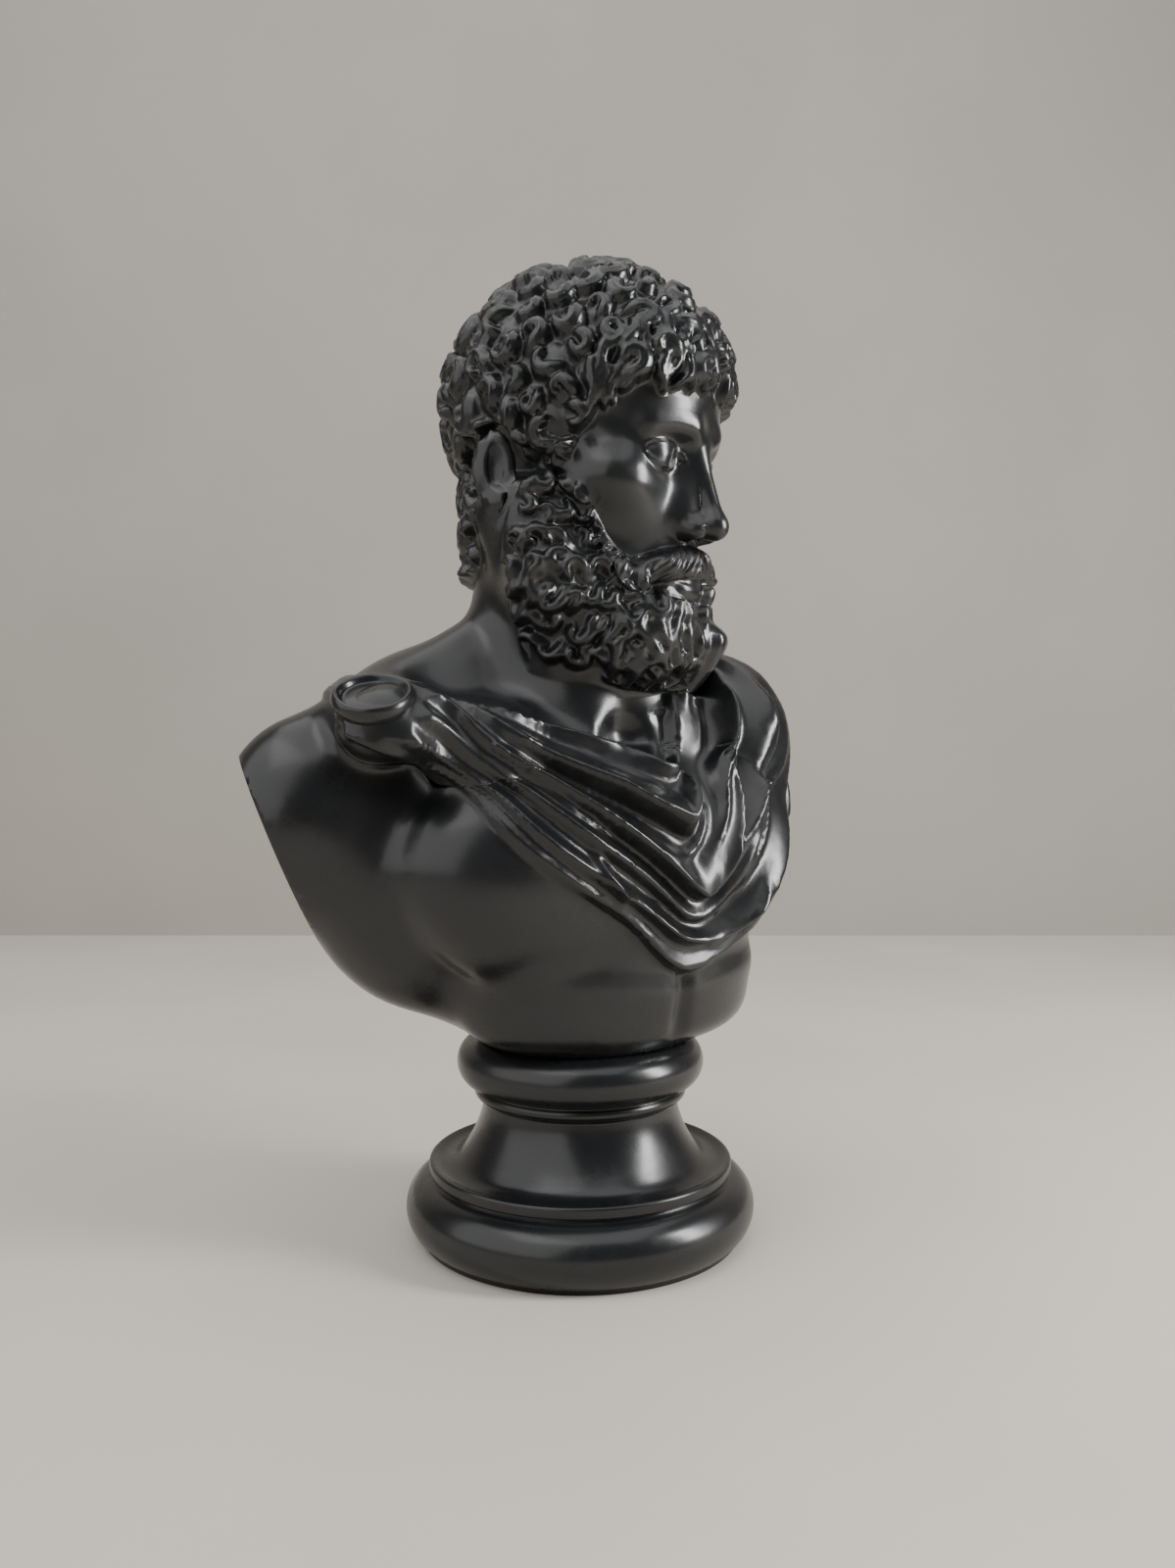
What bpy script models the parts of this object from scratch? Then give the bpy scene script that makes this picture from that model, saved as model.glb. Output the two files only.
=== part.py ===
"""Portrait bust of a bearded Roman emperor in a military cloak, on a turned socle.

It is two castings painted black: the bust, and the socle that it stands on. Lengths are in
metres, +Z is up, the chest faces -Y, and the origin is the centre of the socle's underside.
"""

import math

import bmesh
import bpy
import numpy as np
from mathutils import Euler, Matrix, Vector

# Socle, from the table upwards
BASE_TORUS_RADIUS = 0.1000
FOOT_INSET = 0.0085
BASE_TORUS_BULGE = 0.0160
BASE_TORUS_HEIGHT = 0.0345
GROOVE_DEPTH = 0.0026
GROOVE_HEIGHT = 0.0013
PLATE_RADIUS = 0.0870
PLATE_HEIGHT = 0.0072
SCOTIA_DIP = 0.0022
SCOTIA_HEIGHT = 0.0352
WAIST_RADIUS = 0.0558
COLLAR_RADIUS = 0.0610
COLLAR_HEIGHT = 0.0070
TOP_TORUS_RADIUS = 0.0710
TOP_TORUS_HEIGHT = 0.0270
SEAT_RADIUS = 0.0585
TURNING_STEPS = 36

# Bust
FIGURE_HEIGHT = 0.4450
SEAT_GAP = 0.0003
HEAD_TURN = math.radians(28.0)
HEAD_NOD = math.radians(9.0)
CLAY_GRAIN = 0.0030
BUST_TRIANGLES = 7200

# The figure's proportions are shares of its own height, which is 445 parts. The head's are
# hundredths of the head's height from chin to crown, which is 205 parts.
FIGURE_PARTS = 445.0
HEAD_PARTS = 205.0
PART = FIGURE_HEIGHT / FIGURE_PARTS
HEAD_CENTRE = (4.5, 2.0, 330.0)
CLOAK_CENTRE = (0.0, 0.0, 130.0)
BROOCH_CENTRE = (-143.0, -41.0, 189.0)
BROOCH_FACING = (-0.25, -0.43, 0.87)
BROOCH_RADIUS = 20.0
ARM_CUT_POINT = (190.0, 28.0, 164.0)
ARM_CUT_FACING = (0.87, 0.33, -0.37)

SEED = 7


def arc(centre, radii, start, end, steps):
    """Points of an elliptical arc in the profile plane, angles in degrees."""
    angles = np.radians(np.linspace(start, end, steps))
    return [(centre[0] + radii[0] * math.cos(a), centre[1] + radii[1] * math.sin(a)) for a in angles]


def socle_heights():
    """Where each moulding of the socle starts, and last the seat."""
    mouldings = (BASE_TORUS_HEIGHT, GROOVE_HEIGHT, PLATE_HEIGHT, SCOTIA_HEIGHT, COLLAR_HEIGHT, TOP_TORUS_HEIGHT)
    return [0.0, *np.cumsum(mouldings).tolist()]


def socle_profile():
    """Half section of the socle from the centre of its seat, down its outer side, to the table."""
    _, groove, plate, scotia, collar, torus, seat = socle_heights()
    torus_rise = TOP_TORUS_HEIGHT / 2
    torus_bulge = TOP_TORUS_RADIUS - SEAT_RADIUS
    lip = PLATE_HEIGHT / 4
    base_rise = BASE_TORUS_HEIGHT / 2
    base_centre = (BASE_TORUS_RADIUS - BASE_TORUS_BULGE, base_rise)
    foot_angle = -math.degrees(math.acos((BASE_TORUS_BULGE - FOOT_INSET) / BASE_TORUS_BULGE))
    swell = PLATE_RADIUS - WAIST_RADIUS
    flare = [
        (WAIST_RADIUS, collar - 0.05 * SCOTIA_HEIGHT),
        (WAIST_RADIUS + 0.03 * swell, collar - 0.22 * SCOTIA_HEIGHT),
        (WAIST_RADIUS + 0.10 * swell, collar - 0.42 * SCOTIA_HEIGHT),
        (WAIST_RADIUS + 0.20 * swell, collar - 0.62 * SCOTIA_HEIGHT),
        (WAIST_RADIUS + 0.34 * swell, collar - 0.82 * SCOTIA_HEIGHT),
        (WAIST_RADIUS + 0.52 * swell, scotia - 0.1 * SCOTIA_DIP),
        (WAIST_RADIUS + 0.76 * swell, scotia - SCOTIA_DIP),
        (PLATE_RADIUS - lip, scotia),
    ]
    collar_rise = COLLAR_HEIGHT / 2
    return [
        (0.0, seat),
        *arc((SEAT_RADIUS, torus + torus_rise), (torus_bulge, torus_rise), 90.0, -62.0, 8),
        *arc((COLLAR_RADIUS - collar_rise, collar + collar_rise), (collar_rise, collar_rise), 62.0, -70.0, 4),
        *flare,
        (PLATE_RADIUS, scotia - lip),
        (PLATE_RADIUS, plate + lip),
        (PLATE_RADIUS - lip, plate),
        (PLATE_RADIUS - GROOVE_DEPTH, plate),
        (PLATE_RADIUS - GROOVE_DEPTH, groove),
        *arc(base_centre, (BASE_TORUS_BULGE, base_rise), 75.0, foot_angle, 9),
        (BASE_TORUS_RADIUS - FOOT_INSET, 0.0),
        (0.0, 0.0),
    ]


def black_paint(name):
    """Black satin lacquer over the cast."""
    paint = bpy.data.materials.new(name)
    paint.use_nodes = True
    shader = paint.node_tree.nodes["Principled BSDF"]
    shader.inputs["Base Color"].default_value = (0.012, 0.012, 0.013, 1.0)
    shader.inputs["Roughness"].default_value = 0.32
    shader.inputs["Metallic"].default_value = 0.0
    return paint


def link(name, mesh, collection, material):
    body = bpy.data.objects.new(name, mesh)
    collection.objects.link(body)
    mesh.materials.clear()
    mesh.materials.append(material)
    return body


def make_socle(collection):
    mesh = bpy.data.meshes.new("socle")
    sketch = bmesh.new()
    points = [sketch.verts.new((radius, 0.0, height)) for radius, height in socle_profile()]
    for upper, lower in zip(points, points[1:]):
        sketch.edges.new((upper, lower))
    sketch.to_mesh(mesh)
    sketch.free()
    socle = link("socle", mesh, collection, black_paint("socle_paint"))
    turn = socle.modifiers.new("turned on the lathe", "SCREW")
    turn.steps = turn.render_steps = TURNING_STEPS
    turn.use_merge_vertices = True
    turn.merge_threshold = 0.00001
    turn.use_smooth_shade = True
    return socle


def unit(vector):
    vector = np.asarray(vector, float)
    return vector / np.linalg.norm(vector)


def smooth_step(value, low, high):
    t = np.clip((value - low) / (high - low), 0.0, 1.0)
    return t * t * (3.0 - 2.0 * t)


class Clay:
    """Lumps of clay pressed together. Its distance is below zero inside and above zero outside."""

    def __init__(self):
        self.lumps = []
        self.frame = Matrix.Identity(4)

    def ball(self, centre, radii, blend=0.0, turn=(0.0, 0.0, 0.0), carve=False, power=2.0):
        """An ellipsoid. turn is in degrees about X, Y and Z, and a power above 2 flattens its poles."""
        tilt = Euler([math.radians(a) for a in turn]).to_matrix().to_4x4()
        place = self.frame @ Matrix.Translation(centre) @ tilt
        self.lumps.append(("ball", place, (*radii, power), blend, carve))

    def bar(self, start, end, start_radius, end_radius, blend=0.0, carve=False):
        """A rod with round ends, thicker at one end than at the other."""
        a = np.array(self.frame @ Vector(start))
        b = np.array(self.frame @ Vector(end))
        self.lumps.append(("bar", (a, b), (start_radius, end_radius), blend, carve))

    def pair(self, kind, *args, **settings):
        """The same lump on both sides of the body. Every point is given for the +X side."""
        for side in (1.0, -1.0):
            mirrored = [(side * a[0], *a[1:]) if i < (2 if kind == "bar" else 1) else a for i, a in enumerate(args)]
            turned = dict(settings)
            if "turn" in turned:
                x, y, z = turned["turn"]
                turned["turn"] = (x, side * y, side * z)
            getattr(self, kind)(*mirrored, **turned)

    @staticmethod
    def _lump_distance(lump, points):
        kind, place, size, _, _ = lump
        if kind == "ball":
            inverse = np.array(place.inverted())
            local = points @ inverse[:3, :3].T + inverse[:3, 3]
            radii, power = np.array(size[:3]), size[3]
            if power == 2.0:
                scaled = np.linalg.norm(local / radii, axis=1)
                slope = np.linalg.norm(local / radii**2, axis=1)
                return scaled * (scaled - 1.0) / np.maximum(slope, 1e-9)
            flat, high = np.hypot(local[:, 0] / radii[0], local[:, 1] / radii[1]), np.abs(local[:, 2]) / radii[2]
            scaled = np.maximum((flat**power + high**power) ** (1.0 / power), 1e-6)
            return np.linalg.norm(local, axis=1) * (1.0 - 1.0 / scaled) * 0.8
        a, b = place
        along = np.clip((points - a) @ (b - a) / ((b - a) @ (b - a)), 0.0, 1.0)
        radius = size[0] + (size[1] - size[0]) * along
        return np.linalg.norm(points - a - along[:, None] * (b - a), axis=1) - radius

    @staticmethod
    def _reach(lump):
        kind, place, size, _, _ = lump
        if kind == "ball":
            return np.array(place.translation), float(max(size[:3])) * (1.0 if size[3] == 2.0 else 1.3)
        return (place[0] + place[1]) / 2, float(np.linalg.norm(place[1] - place[0]) / 2 + max(size))

    def distance(self, points):
        far = 40.0
        found = np.full(len(points), far)
        for lump in self.lumps:
            centre, reach = self._reach(lump)
            blend, carve = lump[3], lump[4]
            near = np.nonzero(np.linalg.norm(points - centre, axis=1) < reach + far)[0]
            if not len(near):
                continue
            new = self._lump_distance(lump, points[near])
            old = found[near]
            soft = max(blend, 1e-6)
            if carve:
                join = np.maximum(soft - np.abs(old + new), 0.0) / soft
                found[near] = np.maximum(old, -new) + join**2 * soft / 4
            else:
                join = np.maximum(soft - np.abs(old - new), 0.0) / soft
                found[near] = np.minimum(old, new) - join**2 * soft / 4
        return found

    def slope(self, points, step=0.6):
        """Outward direction of the clay at each point, not of unit length."""
        corners = np.array([(1, -1, -1), (-1, -1, 1), (-1, 1, -1), (1, 1, 1)], float)
        return sum(c * self.distance(points + step * c)[:, None] for c in corners) / (4 * step)

    def settle(self, points, rounds=4):
        """Moves points onto the clay's surface."""
        points = points.copy()
        for _ in range(rounds):
            slope = self.slope(points)
            steepness = np.maximum((slope**2).sum(axis=1), 0.15)
            move = np.clip(self.distance(points) / steepness, -8.0, 8.0)
            points -= move[:, None] * slope
        return points

    def rough_mesh(self, least):
        """A bmesh of plain balls and cones in place of the thicker lumps, for the voxel remesh to fuse."""
        rough = bmesh.new()
        for kind, place, size, _, carve in self.lumps:
            if carve or min(size[:3]) < least:
                continue
            if kind == "ball":
                matrix = place @ Matrix.Diagonal((*size[:3], 1.0))
                bmesh.ops.create_icosphere(rough, subdivisions=3, radius=1.0, matrix=matrix)
                continue
            for end, radius in zip(place, size):
                bmesh.ops.create_icosphere(rough, subdivisions=2, radius=radius, matrix=Matrix.Translation(end))
            along = Vector(place[1] - place[0])
            turn = along.to_track_quat("Z", "Y").to_matrix().to_4x4()
            bmesh.ops.create_cone(
                rough,
                cap_ends=True,
                segments=16,
                radius1=size[0],
                radius2=size[1],
                depth=along.length,
                matrix=Matrix.Translation((place[0] + place[1]) / 2) @ turn,
            )
        return rough


def head_frame():
    """Places the head's own axes: it faces its own -Y, and its origin is between the eyes and the back."""
    turn = Matrix.Rotation(HEAD_TURN, 4, "Z") @ Matrix.Rotation(HEAD_NOD, 4, "X")
    return Matrix.Translation(HEAD_CENTRE) @ turn @ Matrix.Scale(HEAD_PARTS / 100.0, 4)


def in_head(points):
    """Points of the figure in the head's own hundredths."""
    inverse = np.array(head_frame().inverted())
    return points @ inverse[:3, :3].T + inverse[:3, 3]


def press_torso(clay):
    clay.ball((-6, 19, 108), (145, 60, 110))
    clay.ball((0, 26, 120), (118, 58, 108), 16)
    clay.ball((9, -17, 40), (92, 52, 42), 14, power=4.0)
    clay.ball((-62, -34, 98), (62, 40, 54), 12, turn=(0, 10, -6))
    clay.ball((50, -30, 98), (54, 38, 54), 12, turn=(0, -10, 6))
    clay.ball((-112, 20, 92), (44, 44, 66), 18, turn=(0, -22, 0))
    clay.ball((88, 24, 92), (44, 44, 66), 18, turn=(0, 22, 0))
    clay.ball((-146, 26, 128), (52, 40, 56), 14)
    clay.ball((118, 34, 128), (48, 38, 54), 14)
    clay.bar((-24, 24, 232), (-122, 22, 172), 24, 26, 18)
    clay.bar((24, 24, 236), (100, 24, 172), 26, 24, 26)
    clay.bar((-12, -30, 166), (-118, -14, 184), 9, 9, 18)
    clay.bar((12, -30, 166), (92, -14, 178), 9, 9, 18)
    clay.bar((0, 14, 170), (0, 8, 262), 56, 50, 18)
    clay.bar((0, 0, 8), (0, 0, -20), 55, 55, 12)


def press_draped_side(clay):
    """The even swell of the cloak over the left breast, and the cloth gathered on the left shoulder."""
    clay.ball((8, -26, 108), (82, 50, 62), 26)
    clay.ball((72, 10, 142), (54, 48, 60), 30)
    clay.bar((82, -28, 170), (104, 18, 182), 16, 16, 34)
    clay.bar((104, 18, 182), (90, 62, 170), 16, 20, 34)
    gathered = np.array(BROOCH_CENTRE) - 16.0 * unit(BROOCH_FACING)
    clay.ball(tuple(gathered), (24, 20, 18), 16)
    clay.bar((-136, -30, 174), (-78, -30, 158), 16, 12, 22)
    clay.bar((-128, -2, 182), (-84, 50, 199), 16, 19, 20)


def press_neck(clay):
    frame = head_frame()
    clay.bar((0, 10, 240), tuple(frame @ Vector((0, 6, -12))), 54, 52, 12)
    for side in (1.0, -1.0):
        mastoid = frame @ Vector((side * 26, 8, -20))
        clay.bar(tuple(mastoid), (side * 11, -33, 174), 15, 9, 14)
    clay.ball((0, -52, 172), (12, 12, 10), 14, carve=True)


def press_skull(clay):
    clay.ball((0, 3, 14), (32, 38, 34.5))
    clay.ball((0, -9, 18), (27, 26, 29), 6)
    clay.ball((0, -12, -14), (23, 23, 31), 8)
    clay.pair("bar", (24, -2, -20), (8, -27, -43), 8, 8, 8)
    clay.ball((0, -30, -44), (8, 7, 6), 5)
    clay.pair("ball", (19, -21, -7), (8, 9, 6), 7)


def press_face(clay):
    clay.pair("bar", (6, -34.0, 8.0), (17, -28.0, 7.5), 3.0, 2.6, 6)
    clay.pair("ball", (12.2, -37.0, 0.4), (7.6, 6.4, 4.6), 5, carve=True)
    clay.pair("ball", (11.8, -26.2, 0.3), (6.4, 6.6, 5.2), 1.0)
    clay.bar((0, -33.0, 6.0), (0, -43.0, -15.5), 2.6, 3.6, 6)
    clay.ball((0, -44.0, -16.6), (3.4, 4.0, 3.2), 4)
    clay.pair("ball", (3.7, -40.0, -17.6), (2.4, 3.6, 2.5), 3)
    clay.ball((0, -34.0, -30.0), (10.5, 5.6, 7.5), 5)
    clay.ball((0, -38.0, -32.6), (6.4, 2.4, 2.0), 1.6)


def press_ears(clay):
    for side in (1.0, -1.0):
        clay.ball((side * 32.6, 7.0, -9.0), (2.2, 6.0, 10.4), 2.5, turn=(-8, 0, side * -22))
        rim = []
        for t in np.linspace(0.0, 1.0, 9):
            angle = math.radians(-160.0 + 270.0 * t)
            y, z = 7.0 + 5.6 * math.cos(angle), -8.2 - 9.2 * math.sin(angle)
            rim.append((side * (33.2 + 0.40 * (y - 6.0)), y - 0.12 * (z + 8.0), z))
        for start, end in zip(rim, rim[1:]):
            clay.bar(start, end, 1.7, 1.7, 1.2)
        clay.ball((side * 33.2, 4.2, -17.0), (1.9, 2.8, 3.4), 2.0)
        clay.ball((side * 35.2, 5.6, -9.4), (2.6, 3.0, 5.2), 1.2, carve=True)


def press_beard(clay):
    clay.pair("bar", (27.5, -3.0, -16), (25.5, -8, -34), 5.0, 8.0, 6)
    clay.pair("bar", (25.0, -9, -36), (10.0, -26, -47.5), 8.0, 10.5, 8)
    clay.ball((0, -27, -46), (13, 12.5, 12.5), 9)
    clay.pair("bar", (2.5, -38.4, -25.0), (10.5, -35.0, -27.0), 1.9, 2.3, 3)
    clay.pair("bar", (10.5, -35.0, -27.0), (17.5, -29.5, -32.0), 2.3, 2.2, 4)


def model_clay():
    """The whole figure without its carving."""
    clay = Clay()
    press_torso(clay)
    press_draped_side(clay)
    press_neck(clay)
    head = Clay()
    press_skull(head)
    press_face(head)
    press_ears(head)
    press_beard(head)
    scale = HEAD_PARTS / 100.0
    for kind, place, size, blend, carve in head.lumps:
        if kind == "ball":
            axes = head_frame() @ place
            moved = Matrix.LocRotScale(axes.translation, axes.to_quaternion(), None)
            sizes = (*(scale * radius for radius in size[:3]), size[3])
        else:
            moved = tuple(np.array(head_frame() @ Vector(end)) for end in place)
            sizes = tuple(scale * radius for radius in size)
        clay.lumps.append((kind, moved, sizes, max(blend * scale, 1.0), carve))
    return clay


def fused(rough, grain):
    """The rough balls fused into one closed skin by a voxel remesh."""
    mesh = bpy.data.meshes.new("rough clay")
    rough.to_mesh(mesh)
    rough.free()
    body = bpy.data.objects.new("rough clay", mesh)
    bpy.context.scene.collection.objects.link(body)
    remesh = body.modifiers.new("fused", "REMESH")
    remesh.mode = "VOXEL"
    remesh.voxel_size = grain
    skin = bpy.data.meshes.new_from_object(body.evaluated_get(bpy.context.evaluated_depsgraph_get()))
    bpy.data.objects.remove(body)
    return skin


def read_points(mesh):
    flat = np.empty(len(mesh.vertices) * 3)
    mesh.vertices.foreach_get("co", flat)
    return flat.reshape(-1, 3)


def write_points(mesh, points):
    mesh.vertices.foreach_set("co", np.asarray(points, np.float32).ravel())
    mesh.update()


# Lines of the cloak, from the neckline to the hem: where each leaves the brooch, its lowest point on
# the chest, between which turns it climbs to the left shoulder, its height there and on the back,
# how far its middle is lifted, its rounding, and how far it stands out. Angles are in degrees round
# the middle of the chest, 0 straight ahead and 90 to the left, and above the horizontal.
CLOAK_LINES = (
    ("neckline", (-66.0, 27.0), (14.0, 19.0), (19.0, 41.0), 60.0, 58.0, 11.0, 2.0, 5.0),
    ("fold_1", (-69.0, 21.0), (12.0, -4.0), (12.0, 34.0), 54.0, 44.0, 0.0, 2.0, 13.0),
    ("fold_2", (-71.0, 18.0), (16.0, -27.5), (19.0, 64.0), 50.0, 28.0, 0.0, 2.5, 14.0),
    ("fold_3", (-72.0, 15.5), (12.0, -35.0), (16.0, 84.0), 44.0, 12.0, 0.0, 3.0, 8.0),
    ("fold_4", (-72.5, 13.0), (8.0, -41.0), (20.0, 108.0), 38.0, -4.0, 0.0, 5.0, 11.0),
    ("hem", (-73.5, 10.0), (9.0, -49.0), (14.0, 130.0), 12.0, -36.0, 0.0, 6.0, 5.0),
)
BROOCH_TURN = -75.0


def cloak_heights(line, turns):
    """How high a line of the cloak runs, in degrees, at each turn round the chest."""
    _, start, low, climb, shoulder, back, lift, rounding, _ = line
    end = BROOCH_TURN + 360.0
    share = np.clip((turns - start[0]) / (low[0] - start[0]), 0.0, 1.0)
    heights = start[1] + (low[1] - start[1]) * share + lift * np.sin(math.pi * share)
    heights += (shoulder - low[1]) * smooth_step(turns, *climb)
    heights += (back - shoulder) * smooth_step(turns, max(95.0, climb[1]), 170.0)
    gathered = 22.0 + 0.3 * (start[1] - 10.0)
    pinned = gathered + (start[1] - gathered) * smooth_step(turns, end - 14.0, end)
    heights += (pinned - back) * smooth_step(turns, 200.0, 250.0)
    reach = np.arange(-3.0 * rounding, 3.0 * rounding + 0.5, 1.0)
    weights = np.exp(-0.5 * (reach / rounding) ** 2)
    padded = np.pad(heights, len(reach) // 2, mode="edge")
    return np.convolve(padded, weights / weights.sum(), mode="valid")[: len(turns)]


def cloak_relief(points):
    """How far the cloak stands out from the body at each point."""
    offset = points - np.array(CLOAK_CENTRE)
    turn = np.degrees(np.arctan2(offset[:, 0], -offset[:, 1]))
    turn = np.where(turn < BROOCH_TURN, turn + 360.0, turn)
    rise = np.degrees(np.arctan2(offset[:, 2], np.hypot(offset[:, 0], offset[:, 1])))
    grid = np.arange(BROOCH_TURN, BROOCH_TURN + 361.0, 1.0)
    lines = [np.interp(turn, grid, cloak_heights(line, grid)) for line in CLOAK_LINES]
    depth = np.radians(1.0) * np.linalg.norm(offset, axis=1)
    behind = smooth_step(turn, 105.0, 150.0)
    relief = np.zeros(len(points))
    room = [(above - below) * depth for above, below in zip(lines, lines[1:])]
    room = [room[0], *(np.minimum(a, b) for a, b in zip(room, room[1:])), room[-1]]
    crests = [line[8] * np.clip(gap / 16.0, 0.0, 1.0) * (1.0 - 0.5 * behind) for line, gap in zip(CLOAK_LINES, room)]
    for high, low, above, below in zip(crests, crests[1:], lines, lines[1:]):
        t = (above - rise) / np.maximum(above - below, 0.4)
        fall = high * (1.0 - smooth_step(t, 0.03, 0.32))
        climb = low * smooth_step(t, 0.12, 0.98) ** 1.2
        between = (t >= 0.0) & (t <= 1.0)
        relief = np.where(between, 3.0 + np.maximum(fall, climb), relief)
    above = (rise - lines[0]) * depth
    relief = np.where(above > 0.0, (3.0 + crests[0]) * (1.0 - smooth_step(above, 0.0, 4.5)), relief)
    under = (lines[-1] - rise) * depth
    relief = np.where(under > 0.0, (3.0 + crests[-1]) * (1.0 - smooth_step(under, 0.0, 4.5)), relief)
    away = np.linalg.norm(points - np.array(BROOCH_CENTRE), axis=1) - BROOCH_RADIUS
    return np.minimum(relief, 2.0 + np.maximum(away, 0.0) * 0.8)


# How low the hair comes, in the head's hundredths, at each turn from the face (0) to the nape (180)
HAIRLINE = ((0, 20), (20, 19), (36, 17), (48, 12), (58, 3), (66, -8), (74, -13), (84, 3), (96, 3),
            (106, -18), (120, -34), (150, -40), (180, -40))
# How high the beard comes at each turn from the face
BEARDLINE = ((0, -22.5), (12, -23), (22, -27), (34, -26), (46, -18), (58, -8), (66, 0), (74, -6), (86, -18), (100, -60))


def head_turn(local):
    return np.degrees(np.arctan2(np.abs(local[:, 0]), -local[:, 1] + 2.0))


def hair_share(local):
    """1 where hair grows on the scalp, 0 on bare skin."""
    turn = head_turn(local)
    line = np.interp(turn, *np.array(HAIRLINE, float).T)
    share = smooth_step(local[:, 2] - line, 0.0, 2.0)
    ear = np.hypot((local[:, 1] - 7.0) / 8.4, (local[:, 2] + 9.2) / 12.4)
    return share * np.where(np.abs(local[:, 0]) > 20.0, smooth_step(ear, 1.0, 1.2), 1.0)


def beard_share(local):
    turn = head_turn(local)
    line = np.interp(turn, *np.array(BEARDLINE, float).T)
    jaw = smooth_step(local[:, 1] - 0.30 * (local[:, 2] + 20.0), 6.0, 3.0)
    lips = np.hypot(local[:, 0] / 8.0, (local[:, 2] + 32.6) / 3.2)
    bare = np.where(local[:, 1] < -25.0, smooth_step(lips, 1.0, 1.25), 1.0)
    return smooth_step(line - local[:, 2], 0.0, 1.6) * smooth_step(local[:, 2], -68.0, -64.0) * jaw * bare


def curl(u, v, spin):
    """Height of a curl of radius 1 at u, v: a round knob that leans over a hollow at one side."""
    radius = np.hypot(u, v)
    dome = np.sqrt(np.clip(1.0 - radius**2, 0.0, 1.0))
    hollow = np.exp(-(((u - 0.3 * math.cos(spin)) ** 2 + (v - 0.3 * math.sin(spin)) ** 2) / 0.07))
    return dome - 0.45 * hollow


def lock(along, across, wave, hook, strands):
    """Height of a hanging lock, 0 to 1 long and 2 wide: a wavy rope of strands with a hooked tip."""
    centre = wave * np.sin(2 * math.pi * along) + hook * np.clip(along - 0.55, 0.0, 1.0) ** 2 * 6.0
    width = np.sqrt(np.clip(1.0 - np.clip((along - 0.35) / 0.65, 0.0, 1.0) ** 2, 0.0, 1.0)) + 1e-6
    side = (across - centre) / width
    body = np.sqrt(np.clip(1.0 - side**2, 0.0, 1.0)) * width**0.5
    groove = 0.5 + 0.5 * np.cos(math.pi * strands * side)
    start = smooth_step(along, -0.02, 0.12)
    inside = (along > -0.02) & (along < 1.0) & (np.abs(side) < 1.0)
    return np.where(inside, start * body * (0.72 + 0.28 * groove), 0.0)


def sphere_spots(count):
    """Evenly spread directions on a sphere."""
    index = np.arange(count) + 0.5
    height = 1.0 - 2.0 * index / count
    angle = index * math.pi * (3.0 - math.sqrt(5.0))
    ring = np.sqrt(1.0 - height**2)
    return np.stack([ring * np.cos(angle), ring * np.sin(angle), height], axis=1)


def hair_relief(points, local, chance):
    """Curls all over the scalp."""
    middle, radii = np.array((0.0, 3.0, 12.0)), np.array((32.0, 37.0, 37.0))
    share = hair_share(local)
    toward = (local - middle) / radii
    toward /= np.linalg.norm(toward, axis=1)[:, None]
    relief = np.full(len(points), 1.0)
    reach = 78.0
    for spot in sphere_spots(190):
        size = 13.0 * chance.uniform(0.85, 1.25)
        spin, stretch, rise = chance.uniform(0.0, 2 * math.pi), chance.uniform(0.8, 1.2), chance.uniform(-1.0, 1.0)
        if hair_share((middle + spot * radii)[None, :])[0] < 0.5:
            continue
        near = np.nonzero(toward @ spot > 1.0 - (size / reach) ** 2 * 0.8)[0]
        side = unit(np.cross(spot, (0.3, 0.2, 1.0)))
        up = np.cross(side, spot)
        u, v = toward[near] @ side * reach / size * stretch, toward[near] @ up * reach / size / stretch
        relief[near] = np.maximum(relief[near], 2.4 + rise + 9.0 * curl(u, v, spin))
    return relief * share


def hang_locks(points, normals, anchors, relief, chance, lengths, widths, lift, height, wave, spread=0.0):
    """Adds hanging locks to the relief. Each anchor is the index of the point that the lock hangs from."""
    for index in anchors:
        spot, out = points[index], unit(normals[index])
        down = np.array((0.0, 0.0, -1.0))
        flow = unit(down - (down @ out) * out)
        side = np.cross(out, flow)
        lean = chance.uniform(-0.25, 0.25) + spread
        flow, side = flow * math.cos(lean) + side * math.sin(lean), side * math.cos(lean) - flow * math.sin(lean)
        length, width = chance.uniform(*lengths), chance.uniform(*widths)
        bend, hook = chance.uniform(0.5, 1.0) * wave * chance.choice((-1.0, 1.0)), chance.uniform(-1.6, 1.6)
        rise = lift + chance.uniform(-0.6, 0.6)
        offset = points - spot
        near = np.nonzero((np.abs(offset) < length * 1.1).all(axis=1))[0]
        local = offset[near]
        bump = lock(local @ flow / length, local @ side / width, bend, hook, 4.0)
        facing = normals[near] @ out > 0.2
        made = np.where(facing & (bump > 0.0), rise + height * bump, 0.0)
        relief[near] = np.maximum(relief[near], made)


def nearest(local, turns, heights):
    """Index of the head point nearest to each turn (signed, degrees) and height."""
    turn = np.degrees(np.arctan2(local[:, 0], -local[:, 1] + 2.0))
    found = []
    for goal, height in zip(turns, heights):
        outer = np.abs((turn - goal + 180.0) % 360.0 - 180.0) * 0.55
        found.append(int(np.argmin(np.hypot(outer, local[:, 2] - height))))
    return found


def fringe_relief(points, normals, local, chance):
    relief = np.zeros(len(points))
    for row, (rise, lift, count) in enumerate(((9.0, 5.0, 17), (17.0, 6.5, 15))):
        turns = np.linspace(-54.0, 54.0, count) + (row % 2) * 2.5
        heights = np.interp(np.abs(turns), *np.array(HAIRLINE, float).T) + rise
        anchors = nearest(local, turns, heights)
        hang_locks(points, normals, anchors, relief, chance, (22.0, 26.0), (4.6, 6.0), lift, 5.0, 0.35)
    return relief


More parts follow.
